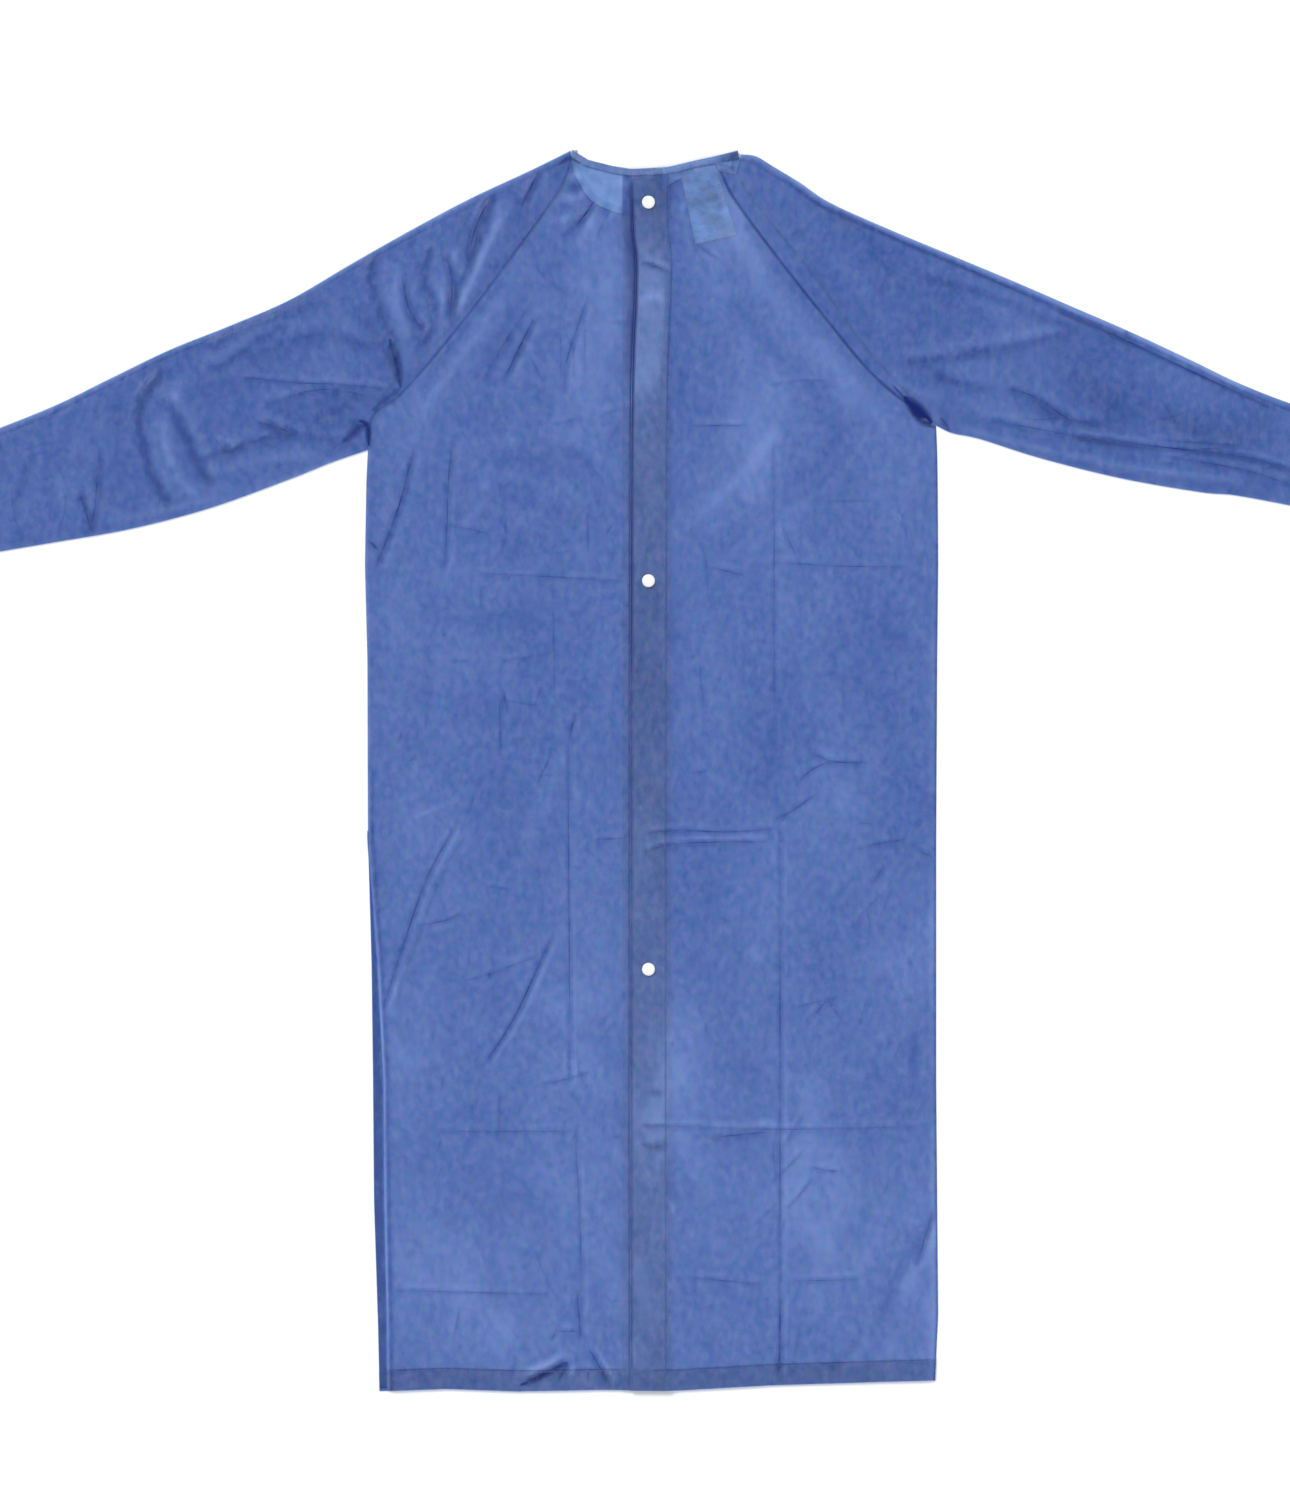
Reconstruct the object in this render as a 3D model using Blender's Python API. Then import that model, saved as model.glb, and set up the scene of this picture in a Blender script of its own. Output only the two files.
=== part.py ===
# A long-sleeved over-apron of blue plastic film, laid flat with its back opening up.
# Metres, +Z up. It lies on z = 0 with the neck towards +Y and the wearer's left towards -X,
# and the origin is the middle of its underside.

from collections import namedtuple

import bpy
import numpy as np

# Wall and seam sizes
WALL = 0.0010  # one layer of cloth
TURN = 0.0006  # what a turned edge adds to the wall
GAP = 0.0003  # between neighbouring pieces
STEP = 0.0010  # length of the step where a turned edge begins
BACK_HEM = 0.0210  # depth of the turned hem, and of the turned cuffs
FRONT_HEM = 0.0180  # a little less, so that the back clears it
BINDING = 0.0065  # width of the neck binding
BINDING_WALL = 0.0016

# The back opening
OVERLAP_FACING = 0.015  # x where the over-lap's facing ends
UNDERLAP_EDGE = 0.010  # x of the hidden edge of the under-lap
UNDERLAP_FACING = -0.030  # x where its facing begins
OVERLAP_SLOPE = 0.018  # how far past the facing the over-lap comes down to the front panel

# Grid counts
SEAM_POINTS = 14  # along each raglan seam, shared by the panel and the sleeve
SIDE_ROWS = 36  # between the hem and the underarm
FRONT_COLUMNS = 18
LEFT_COLUMNS = 15  # without the facing's own columns
RIGHT_COLUMNS = 18
SLEEVE_SECTIONS = 24

# Snap caps
CAP_RADIUS = 0.00645
CAP_HEIGHT = 0.0022
CAP_SEGMENTS = 20
CAP_X = -0.0045
CAP_Y = {"top": 0.568, "middle": 0.190, "bottom": -0.198}

# Label: its corners, top left, top right, bottom left, bottom right
LABEL_CORNERS = [(0.0272, 0.5990), (0.0622, 0.6065), (0.0425, 0.5265), (0.0835, 0.5360)]
LABEL_CELLS = (6, 3)
LABEL_CLEAR = 0.012  # how far round the label the back stays lifted over it
LABEL_SLOPE = 0.014  # and how far it then takes to come down

HEM_LEVEL = -0.615
UNDERARM_LEFT = (-0.2850, 0.3210)
UNDERARM_RIGHT = (0.2830, 0.3455)

Side = namedtuple("Side", "y front_left back_left right")
# The body's side edges, hem to underarm. Low down on the left the front rolls round past the back.
SIDES = [
    Side(y=-0.615, front_left=-0.2735, back_left=-0.2655, right=0.2820),
    Side(y=-0.549, front_left=-0.2750, back_left=-0.2660, right=0.2850),
    Side(y=-0.429, front_left=-0.2790, back_left=-0.2685, right=0.2840),
    Side(y=-0.309, front_left=-0.2800, back_left=-0.2695, right=0.2830),
    Side(y=-0.189, front_left=-0.2815, back_left=-0.2755, right=0.2830),
    Side(y=-0.069, front_left=-0.2850, back_left=-0.2850, right=0.2830),
    Side(y=0.111, front_left=-0.2855, back_left=-0.2855, right=0.2840),
    Side(y=0.206, front_left=-0.2880, back_left=-0.2880, right=0.2850),
    Side(y=0.290, front_left=-0.2865, back_left=-0.2865, right=0.2845),
    Side(y=0.3210, front_left=-0.2850, back_left=-0.2850, right=0.2840),
]

# The hem's lower edge, left to right
HEM_LINE = [
    (-0.274, -0.6200), (-0.207, -0.6175), (-0.137, -0.6200), (-0.053, -0.6185),
    (0.025, -0.6192), (0.115, -0.6140), (0.227, -0.6105), (0.285, -0.6090),
]

# Raglan seams, neck to underarm
BACK_SEAM_LEFT = [
    (-0.0808, 0.6130), (-0.0930, 0.5820), (-0.1340, 0.5230), (-0.1830, 0.4580),
    (-0.2320, 0.3980), (-0.2560, 0.3720), (-0.2790, 0.3560), UNDERARM_LEFT,
]
FRONT_SEAM_LEFT = [
    (-0.0790, 0.5980), (-0.1010, 0.5680), (-0.1530, 0.5010), (-0.2230, 0.4210),
    (-0.2700, 0.3750), UNDERARM_LEFT,
]
BACK_SEAM_RIGHT = [
    (0.0643, 0.6073), (0.0810, 0.5720), (0.1260, 0.5110), (0.1910, 0.4290),
    (0.2280, 0.3880), UNDERARM_RIGHT,
]
FRONT_SEAM_RIGHT = [
    (0.0825, 0.5970), (0.1040, 0.5650), (0.1600, 0.4960), (0.2130, 0.4230),
    (0.2470, 0.3860), UNDERARM_RIGHT,
]

# Necklines. The neck point is where each sleeve's fold meets the binding.
NECK_POINT_LEFT = (-0.0825, 0.6200)
NECK_POINT_RIGHT = (0.0880, 0.6165)
SLEEVE_NECK_CORNER_RIGHT = (0.0862, 0.6115)
FRONT_NECK = [
    (-0.0790, 0.5980), (-0.0640, 0.5730), (-0.0460, 0.5620), (-0.0250, 0.5580), (0.0000, 0.5720),
    (0.0220, 0.5900), (0.0460, 0.5980), (0.0660, 0.6000), (0.0825, 0.5970),
]
BACK_NECK_LEFT = [
    (-0.0808, 0.6130), (-0.0670, 0.6045), (-0.0430, 0.5980), (-0.0230, 0.5950), (0.0100, 0.5950),
]
BACK_NECK_LEFT_TOP = [
    (-0.0810, 0.6208), (-0.0650, 0.6110), (-0.0410, 0.6050), (-0.0230, 0.6020), (0.0100, 0.6020),
]
BACK_NECK_RIGHT = [(-0.0215, 0.5945), (0.0150, 0.5965), (0.0470, 0.6043), (0.0643, 0.6073)]
BACK_NECK_RIGHT_TOP = [(-0.0215, 0.6015), (0.0150, 0.6035), (0.0470, 0.6112), (0.0630, 0.6145)]
BACK_NECK_RIGHT_END = (0.0842, 0.6200)

# The over-lap's free edge, hem to neck
OVERLAP_LINE = [
    (-0.0230, -0.6150), (-0.0232, -0.1500), (-0.0222, 0.3410), (-0.0180, 0.4710),
    (-0.0172, 0.5150), (-0.0215, 0.5945),
]

# Sleeve edges from the neck point and the underarm out to the cuff
SLEEVE_TOP_LEFT = [
    NECK_POINT_LEFT, (-0.123, 0.600), (-0.183, 0.572), (-0.243, 0.540), (-0.303, 0.506),
    (-0.363, 0.471), (-0.423, 0.445), (-0.483, 0.421), (-0.543, 0.392), (-0.603, 0.363),
    (-0.683, 0.332), (-0.768, 0.305),
]
SLEEVE_BOTTOM_LEFT = [
    UNDERARM_LEFT, (-0.323, 0.308), (-0.363, 0.292), (-0.443, 0.263), (-0.523, 0.242),
    (-0.603, 0.228), (-0.673, 0.216), (-0.738, 0.203),
]
SLEEVE_TOP_RIGHT = [
    NECK_POINT_RIGHT, (0.103, 0.6145), (0.119, 0.605), (0.147, 0.588), (0.177, 0.568),
    (0.237, 0.541), (0.297, 0.516), (0.357, 0.491), (0.417, 0.465), (0.477, 0.439),
    (0.537, 0.411), (0.587, 0.387), (0.647, 0.364), (0.707, 0.347), (0.768, 0.333),
]
SLEEVE_BOTTOM_RIGHT = [
    UNDERARM_RIGHT, (0.299, 0.338), (0.327, 0.332), (0.387, 0.313), (0.467, 0.293),
    (0.547, 0.279), (0.587, 0.275), (0.667, 0.259), (0.737, 0.239),
]

Fold = namedtuple("Fold", "x0 y0 x1 y1 bow width height")
# Raised folds of the upper layer: ends, how far the middle bows to the left of the way from
# the first end to the second, half width and height.
BODY_FOLDS = [
    # Storage creases, down and across
    Fold(x0=-0.085, y0=0.130, x1=-0.085, y1=-0.330, bow=0.002, width=0.010, height=0.0016),
    Fold(x0=-0.080, y0=-0.340, x1=-0.070, y1=-0.560, bow=0.002, width=0.010, height=0.0014),
    Fold(x0=0.121, y0=0.330, x1=0.122, y1=-0.020, bow=0.000, width=0.010, height=0.0016),
    Fold(x0=0.126, y0=-0.040, x1=0.127, y1=-0.600, bow=-0.001, width=0.010, height=0.0018),
    Fold(x0=-0.240, y0=0.194, x1=-0.040, y1=0.189, bow=0.002, width=0.013, height=0.0014),
    Fold(x0=0.040, y0=0.345, x1=0.180, y1=0.343, bow=0.001, width=0.013, height=0.0012),
    Fold(x0=0.040, y0=-0.060, x1=0.250, y1=-0.060, bow=0.003, width=0.013, height=0.0020),
    Fold(x0=0.045, y0=-0.084, x1=0.120, y1=-0.072, bow=-0.003, width=0.012, height=0.0016),
    Fold(x0=-0.215, y0=-0.360, x1=-0.045, y1=-0.360, bow=0.001, width=0.013, height=0.0014),
    Fold(x0=0.035, y0=-0.356, x1=0.270, y1=-0.354, bow=-0.001, width=0.014, height=0.0018),
    Fold(x0=0.040, y0=-0.508, x1=0.200, y1=-0.512, bow=0.002, width=0.013, height=0.0014),
    Fold(x0=-0.250, y0=-0.522, x1=-0.110, y1=-0.519, bow=0.001, width=0.013, height=0.0012),
    # Drag lines from the left underarm and shoulder
    Fold(x0=-0.239, y0=0.323, x1=-0.278, y1=0.201, bow=-0.006, width=0.013, height=0.0032),
    Fold(x0=-0.198, y0=0.340, x1=-0.209, y1=0.199, bow=0.003, width=0.012, height=0.0022),
    Fold(x0=-0.118, y0=0.454, x1=-0.148, y1=0.392, bow=0.000, width=0.011, height=0.0020),
    Fold(x0=-0.065, y0=0.474, x1=-0.087, y1=0.376, bow=0.004, width=0.012, height=0.0020),
    Fold(x0=-0.165, y0=0.273, x1=-0.198, y1=0.230, bow=0.000, width=0.013, height=0.0020),
    Fold(x0=-0.089, y0=0.334, x1=-0.029, y1=0.256, bow=-0.008, width=0.014, height=0.0022),
    # Long slanting folds low on the left
    Fold(x0=-0.088, y0=0.021, x1=-0.135, y1=-0.116, bow=0.002, width=0.017, height=0.0030),
    Fold(x0=-0.100, y0=-0.162, x1=-0.169, y1=-0.294, bow=0.004, width=0.012, height=0.0030),
    Fold(x0=-0.196, y0=-0.051, x1=-0.262, y1=-0.238, bow=0.002, width=0.013, height=0.0028),
    Fold(x0=-0.172, y0=-0.019, x1=-0.241, y1=-0.047, bow=0.003, width=0.012, height=0.0018),
    Fold(x0=-0.163, y0=-0.203, x1=-0.113, y1=-0.184, bow=0.000, width=0.012, height=0.0020),
    # The pinch in the left half's hem
    Fold(x0=-0.132, y0=-0.613, x1=-0.083, y1=-0.588, bow=0.002, width=0.009, height=0.0030),
    Fold(x0=-0.065, y0=-0.578, x1=-0.044, y1=-0.612, bow=0.000, width=0.009, height=0.0022),
    # Folds on the right half
    Fold(x0=0.126, y0=0.340, x1=0.040, y1=0.240, bow=-0.004, width=0.014, height=0.0020),
    Fold(x0=0.056, y0=0.204, x1=0.256, y1=0.204, bow=0.003, width=0.013, height=0.0014),
    Fold(x0=0.156, y0=0.020, x1=0.217, y1=0.008, bow=-0.003, width=0.012, height=0.0020),
    Fold(x0=0.165, y0=-0.021, x1=0.121, y1=-0.049, bow=-0.004, width=0.012, height=0.0018),
    Fold(x0=0.234, y0=-0.090, x1=0.217, y1=-0.116, bow=0.000, width=0.013, height=0.0018),
    Fold(x0=0.045, y0=-0.171, x1=0.117, y1=-0.194, bow=0.004, width=0.015, height=0.0018),
    Fold(x0=0.052, y0=-0.367, x1=0.121, y1=-0.360, bow=-0.004, width=0.012, height=0.0022),
    Fold(x0=0.273, y0=-0.450, x1=0.228, y1=-0.552, bow=0.005, width=0.015, height=0.0028),
    Fold(x0=0.210, y0=-0.555, x1=0.177, y1=-0.601, bow=0.002, width=0.012, height=0.0018),
]
SLEEVE_FOLDS = [
    # Left sleeve, cuff to shoulder
    Fold(x0=-0.575, y0=0.284, x1=-0.559, y1=0.236, bow=0.000, width=0.012, height=0.0020),
    Fold(x0=-0.514, y0=0.364, x1=-0.482, y1=0.263, bow=0.014, width=0.012, height=0.0030),
    Fold(x0=-0.490, y0=0.378, x1=-0.439, y1=0.284, bow=0.002, width=0.012, height=0.0028),
    Fold(x0=-0.440, y0=0.330, x1=-0.405, y1=0.300, bow=0.000, width=0.012, height=0.0018),
    Fold(x0=-0.393, y0=0.351, x1=-0.305, y1=0.324, bow=0.004, width=0.013, height=0.0024),
    Fold(x0=-0.400, y0=0.388, x1=-0.263, y1=0.386, bow=0.002, width=0.012, height=0.0018),
    Fold(x0=-0.251, y0=0.496, x1=-0.228, y1=0.437, bow=0.004, width=0.011, height=0.0022),
    Fold(x0=-0.211, y0=0.525, x1=-0.203, y1=0.447, bow=-0.005, width=0.011, height=0.0026),
    Fold(x0=-0.160, y0=0.578, x1=-0.185, y1=0.507, bow=0.006, width=0.011, height=0.0026),
    Fold(x0=-0.113, y0=0.600, x1=-0.132, y1=0.568, bow=0.000, width=0.010, height=0.0018),
    Fold(x0=-0.620, y0=0.330, x1=-0.690, y1=0.270, bow=0.006, width=0.013, height=0.0022),
    Fold(x0=-0.680, y0=0.310, x1=-0.730, y1=0.262, bow=0.000, width=0.012, height=0.0016),
    # Right sleeve, shoulder to cuff
    Fold(x0=0.134, y0=0.590, x1=0.232, y1=0.556, bow=-0.006, width=0.011, height=0.0018),
    Fold(x0=0.232, y0=0.537, x1=0.589, y1=0.376, bow=-0.004, width=0.010, height=0.0022),
    Fold(x0=0.421, y0=0.334, x1=0.588, y1=0.314, bow=0.001, width=0.010, height=0.0024),
    Fold(x0=0.376, y0=0.371, x1=0.409, y1=0.351, bow=0.000, width=0.013, height=0.0020),
    Fold(x0=0.297, y0=0.421, x1=0.339, y1=0.419, bow=0.000, width=0.014, height=0.0018),
    Fold(x0=0.347, y0=0.426, x1=0.417, y1=0.441, bow=0.001, width=0.012, height=0.0016),
    Fold(x0=0.497, y0=0.301, x1=0.640, y1=0.330, bow=-0.004, width=0.011, height=0.0018),
    Fold(x0=0.610, y0=0.352, x1=0.710, y1=0.300, bow=0.006, width=0.012, height=0.0020),
    Fold(x0=0.275, y0=0.366, x1=0.262, y1=0.350, bow=0.000, width=0.010, height=0.0030),
]
FOLD_FADE = 0.25  # share of a fold's length over which each end dies away
EDGE_FADE = 0.016  # how far in from a free edge the folds stay low
SLEEVE_LOFT = 0.0012  # air between the two layers in the middle of a sleeve

FILM_BLUE = (0.085, 0.135, 0.360, 1.0)
SLEEVE_BLUE = (0.080, 0.125, 0.345, 1.0)
FRONT_BLUE = (0.110, 0.180, 0.440, 1.0)
BINDING_BLUE = (0.060, 0.095, 0.270, 1.0)
LABEL_WHITE = (0.620, 0.700, 0.800, 1.0)
CAP_WHITE = (0.870, 0.865, 0.880, 1.0)


def clear_scene():
    for old in list(bpy.data.objects):
        bpy.data.objects.remove(old, do_unlink=True)


def make_material(name, colour, roughness):
    found = bpy.data.materials.new(name)
    found.use_nodes = True
    shader = found.node_tree.nodes["Principled BSDF"]
    shader.inputs["Base Color"].default_value = colour
    shader.inputs["Roughness"].default_value = roughness
    shader.inputs["Metallic"].default_value = 0.0
    return found


def smoothstep(start, end, value):
    share = np.clip((value - start) / (end - start), 0.0, 1.0)
    return share * share * (3.0 - 2.0 * share)


def spaced(points, count):
    """count points at equal distances along the polyline through points."""
    points = np.asarray(points, float)
    lengths = np.r_[0.0, np.cumsum(np.linalg.norm(np.diff(points, axis=0), axis=1))]
    wanted = np.linspace(0.0, lengths[-1], count)
    return np.column_stack([np.interp(wanted, lengths, points[:, k]) for k in (0, 1)])


def curve_through(points, count):
    """count points at equal distances along a smooth curve through points."""
    points = np.asarray(points, float)
    ends = np.vstack([2 * points[0] - points[1], points, 2 * points[-1] - points[-2]])
    t = np.linspace(0.0, 1.0, 16, endpoint=False)[:, None]
    pieces = []
    for a, b, c, d in zip(ends[:-3], ends[1:-2], ends[2:-1], ends[3:]):
        bend = (c - a) * t + (2 * a - 5 * b + 4 * c - d) * t**2 + (3 * b - a - 3 * c + d) * t**3
        pieces.append(b + 0.5 * bend)
    return spaced(np.vstack(pieces + [points[-1:]]), count)


def offset(points, distance):
    """points moved to the left of their way by distance, with mitred corners."""
    points = np.asarray(points, float)
    way = np.diff(points, axis=0)
    way /= np.linalg.norm(way, axis=1)[:, None]
    left = np.column_stack([-way[:, 1], way[:, 0]])
    before = np.vstack([left[:1], left])
    after = np.vstack([left, left[-1:]])
    middle = before + after
    middle /= np.linalg.norm(middle, axis=1)[:, None]
    reach = np.maximum((middle * before).sum(axis=1), 0.5)
    return points + middle * (distance / reach)[:, None]


def hem_y(x):
    line = np.array(HEM_LINE)
    return np.interp(x, line[:, 0], line[:, 1])


def in_hem(plan, depth):
    """1 in the turned hem, 0 above it."""
    return 1.0 - smoothstep(depth, depth + STEP, plan[..., 1] - hem_y(plan[..., 0]))


def fold_height(plan, folds, edge_distance):
    """Height of the folds at each point of plan, low near a free edge."""
    x, y = plan[..., 0], plan[..., 1]
    height = np.zeros(x.shape)
    for fold in folds:
        dx, dy = fold.x1 - fold.x0, fold.y1 - fold.y0
        length = np.hypot(dx, dy)
        along = ((x - fold.x0) * dx + (y - fold.y0) * dy) / length**2
        across = ((y - fold.y0) * dx - (x - fold.x0) * dy) / length
        across = across - fold.bow * 4.0 * along * (1.0 - along)
        ends = smoothstep(0.0, FOLD_FADE, along) * smoothstep(0.0, FOLD_FADE, 1.0 - along)
        height = np.maximum(height, fold.height * ends * np.exp(-((across / fold.width) ** 2)))
    return height * smoothstep(0.0, EDGE_FADE, edge_distance)


def label_lift(plan):
    """Height that the back and the right sleeve gain over the label."""
    corners = np.array(LABEL_CORNERS)
    middle = corners.mean(axis=0)
    across = corners[[1, 3]].mean(axis=0) - corners[[0, 2]].mean(axis=0)
    width = np.linalg.norm(across)
    across /= width
    up = np.array([-across[1], across[0]])
    height = abs((corners[[0, 1]].mean(axis=0) - corners[[2, 3]].mean(axis=0)) @ up)
    away = plan - middle
    beside = np.abs(away @ across) - width / 2
    beyond = np.abs(away @ up) - height / 2
    outside = np.hypot(np.maximum(beside, 0.0), np.maximum(beyond, 0.0))
    return (WALL + GAP) * (1.0 - smoothstep(LABEL_CLEAR, LABEL_CLEAR + LABEL_SLOPE, outside))


def add_mesh(name, points, faces, material):
    mesh = bpy.data.meshes.new(name)
    mesh.from_pydata([tuple(map(float, point)) for point in points], [], faces)
    mesh.materials.append(material)
    mesh.validate()
    piece = bpy.data.objects.new(name, mesh)
    bpy.context.scene.collection.objects.link(piece)
    mesh.shade_smooth()
    mesh.set_sharp_from_angle(angle=0.7)
    return piece


def wall(name, plan, lower, thickness, material):
    """A closed wall over a grid of plan points: its underside at lower, its top above it."""
    rows, columns = plan.shape[:2]
    lower = np.broadcast_to(lower, (rows, columns))
    upper = lower + np.broadcast_to(thickness, (rows, columns))
    under = np.concatenate([plan, lower[..., None]], axis=2).reshape(-1, 3)
    over = np.concatenate([plan, upper[..., None]], axis=2).reshape(-1, 3)
    top = rows * columns
    faces = []
    for r in range(rows - 1):
        for c in range(columns - 1):
            a, b = r * columns + c, r * columns + c + 1
            d, e = a + columns, b + columns
            faces += [(top + a, top + b, top + e, top + d), (a, d, e, b)]
    around = [r * columns for r in range(rows - 1, 0, -1)] + list(range(columns - 1))
    around += [r * columns + columns - 1 for r in range(rows - 1)]
    around += [(rows - 1) * columns + c for c in range(columns - 1, 0, -1)]
    faces += [(a, b, top + b, top + a) for a, b in zip(around, around[1:] + around[:1])]
    return add_mesh(name, np.vstack([under, over]), faces, material)


def side_edge(column, hem, last_y):
    """The rows of a side edge from the hem up to just short of the underarm."""
    steps = np.linspace(HEM_LEVEL + hem + STEP, last_y, SIDE_ROWS)
    y = np.r_[HEM_LEVEL, HEM_LEVEL + hem, steps[:-1]]
    table_y = [side.y for side in SIDES]
    x = np.interp(y, table_y, [getattr(side, column) for side in SIDES])
    return np.column_stack([x, y])


def panel_plan(left, right, shares, top):
    """Rows of points from the left edge to the right edge, bent to the hem and to the neckline."""
    shares = np.asarray(shares)
    plan = left[:, None] * (1.0 - shares)[..., None] + right[:, None] * shares[..., None]
    near_hem = 1.0 - smoothstep(HEM_LEVEL + 0.03, HEM_LEVEL + 0.25, plan[..., 1])
    plan[..., 1] += near_hem * (hem_y(plan[..., 0]) - HEM_LEVEL)
    straight = plan[-1].copy()
    rows = len(plan)
    near_neck = smoothstep(rows - 1 - SEAM_POINTS * 0.75, rows - 1, np.arange(rows))
    plan += near_neck[:, None, None] * (top - straight)[None]
    return plan


def even_shares(rows, columns):
    return np.tile(np.linspace(0.0, 1.0, columns + 1), (rows, 1))


def facing_shares(left, right, edge, at_left, columns):
    """Column places of a back half: even over the open part, with a step at the facing's edge."""
    x0, x1 = left[:, 0], right[:, 0]
    width = x1 - x0
    inner = (edge - x0) / width
    step = STEP / width
    facing = np.linspace(0.0, 1.0, 3)
    wide = np.linspace(0.0, 1.0, columns + 1)
    if at_left:
        band = inner[:, None] * facing
        start = inner + step
        rest = start[:, None] + (1.0 - start)[:, None] * wide
        return np.hstack([band, rest])
    start = inner - step
    rest = start[:, None] * wide
    band = inner[:, None] + (1.0 - inner)[:, None] * facing
    return np.hstack([rest, band])


def seam_edges(seam, inwards):
    """The same points of a raglan seam as the panel's edge and as the sleeve's edge."""
    points = curve_through(seam, SEAM_POINTS)
    return offset(points, inwards * GAP / 2), offset(points, -inwards * GAP / 2)


def make_front(material, left_seam, right_seam):
    left = np.vstack([side_edge("front_left", FRONT_HEM, UNDERARM_LEFT[1]), left_seam[::-1]])
    right = np.vstack([side_edge("right", FRONT_HEM, UNDERARM_RIGHT[1]), right_seam[::-1]])
    neck = curve_through(FRONT_NECK, FRONT_COLUMNS + 1)
    neck[0], neck[-1] = left[-1], right[-1]
    plan = panel_plan(left, right, even_shares(len(left), FRONT_COLUMNS), neck)
    thickness = WALL + TURN * in_hem(plan, FRONT_HEM)
    wall("front_panel", plan, 0.0, thickness, material)
    return neck


def over_front(plan):
    """The height just above the front panel, with its hem."""
    return WALL + GAP + TURN * in_hem(plan, BACK_HEM)


def edge_line(line, y):
    line = np.array(line)
    return np.interp(y, line[:, 1], line[:, 0])


def make_back_left(material, seam):
    left = np.vstack([side_edge("back_left", BACK_HEM, UNDERARM_LEFT[1]), seam[::-1]])
    rows = len(left)
    top_y = BACK_NECK_LEFT[-1][1]
    y = np.where(left[:, 1] < UNDERARM_LEFT[1], left[:, 1],
                 np.interp(left[:, 1], [UNDERARM_LEFT[1], left[-1, 1]], [UNDERARM_LEFT[1], top_y]))
    right = np.column_stack([np.full(rows, UNDERLAP_EDGE), y])
    shares = facing_shares(left, right, UNDERLAP_FACING, False, LEFT_COLUMNS)
    neck = np.array(BACK_NECK_LEFT)
    top = left[-1] * (1.0 - shares[-1])[:, None] + right[-1] * shares[-1][:, None]
    top[:, 1] = np.interp(top[:, 0], neck[:, 0], neck[:, 1])
    top[0] = left[-1]
    plan = panel_plan(left, right, shares, top)
    x, y = plan[..., 0], plan[..., 1]
    inner = UNDERLAP_FACING - x
    edge = np.where(y > UNDERARM_LEFT[1], inner, np.minimum(x - left[:, :1], inner))
    lower = over_front(plan) + fold_height(plan, BODY_FOLDS, edge)
    facing = (x > UNDERLAP_FACING - STEP / 2).astype(float)
    thickness = WALL + TURN * in_hem(plan, BACK_HEM) + TURN * facing
    wall("back_left_panel", plan, lower, thickness, material)
    return plan[-1]


def underlap_lift(plan):
    """Height that the over-lap gains over the under-lap and its facing."""
    facing_edge = OVERLAP_FACING + STEP
    near = 1.0 - smoothstep(facing_edge, facing_edge + OVERLAP_SLOPE, plan[..., 0])
    return near * (WALL + TURN + TURN * in_hem(plan, BACK_HEM) + GAP)


def make_back_right(material, seam):
    right = np.vstack([side_edge("right", BACK_HEM, UNDERARM_RIGHT[1]), seam[::-1]])
    top_y = BACK_NECK_RIGHT[0][1]
    y = np.where(right[:, 1] < UNDERARM_RIGHT[1], right[:, 1],
                 np.interp(right[:, 1], [UNDERARM_RIGHT[1], right[-1, 1]], [UNDERARM_RIGHT[1], top_y]))
    left = np.column_stack([edge_line(OVERLAP_LINE, y), y])
    shares = facing_shares(left, right, OVERLAP_FACING, True, RIGHT_COLUMNS)
    neck = np.array(BACK_NECK_RIGHT)
    top = left[-1] * (1.0 - shares[-1])[:, None] + right[-1] * shares[-1][:, None]
    top[:, 1] = np.interp(top[:, 0], neck[:, 0], neck[:, 1])
    top[-1] = right[-1]
    plan = panel_plan(left, right, shares, top)
    x, y = plan[..., 0], plan[..., 1]
    inner = x - OVERLAP_FACING - OVERLAP_SLOPE
    edge = np.where(y > UNDERARM_RIGHT[1], inner, np.minimum(right[:, :1] - x, inner))
    lower = over_front(plan) + underlap_lift(plan) + label_lift(plan)
    lower = lower + fold_height(plan, BODY_FOLDS, edge)
    facing = (x < OVERLAP_FACING + STEP / 2).astype(float)
    thickness = WALL + TURN * in_hem(plan, BACK_HEM) + TURN * facing
    wall("back_right_panel", plan, lower, thickness, material)
    return plan[-1]


def shares_along(points):
    lengths = np.r_[0.0, np.cumsum(np.linalg.norm(np.diff(points, axis=0), axis=1))]
    return lengths / lengths[-1]


def layer_plan(edge, top, bottom):
    """One layer of a sleeve: rows of points across it, from the armhole edge out to the cuff."""
    across = shares_along(edge)[None, :, None]
    plan = top[:, None] * (1.0 - across) + bottom[:, None] * across
    start = plan[0].copy()
    along = np.linspace(0.0, 1.0, len(top))
    near_armhole = (1.0 - along) ** 3
    return plan + near_armhole[:, None, None] * (edge - start)[None]


def inset_edges(plan, distance):
    """plan with its first and last columns moved in, to leave room for the folded edge."""
    moved = plan.copy()
    for edge, inner in ((0, 1), (-1, -2)):
        way = plan[:, inner] - plan[:, edge]
        moved[:, edge] += way / np.linalg.norm(way, axis=1)[:, None] * distance
    return moved


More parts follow.
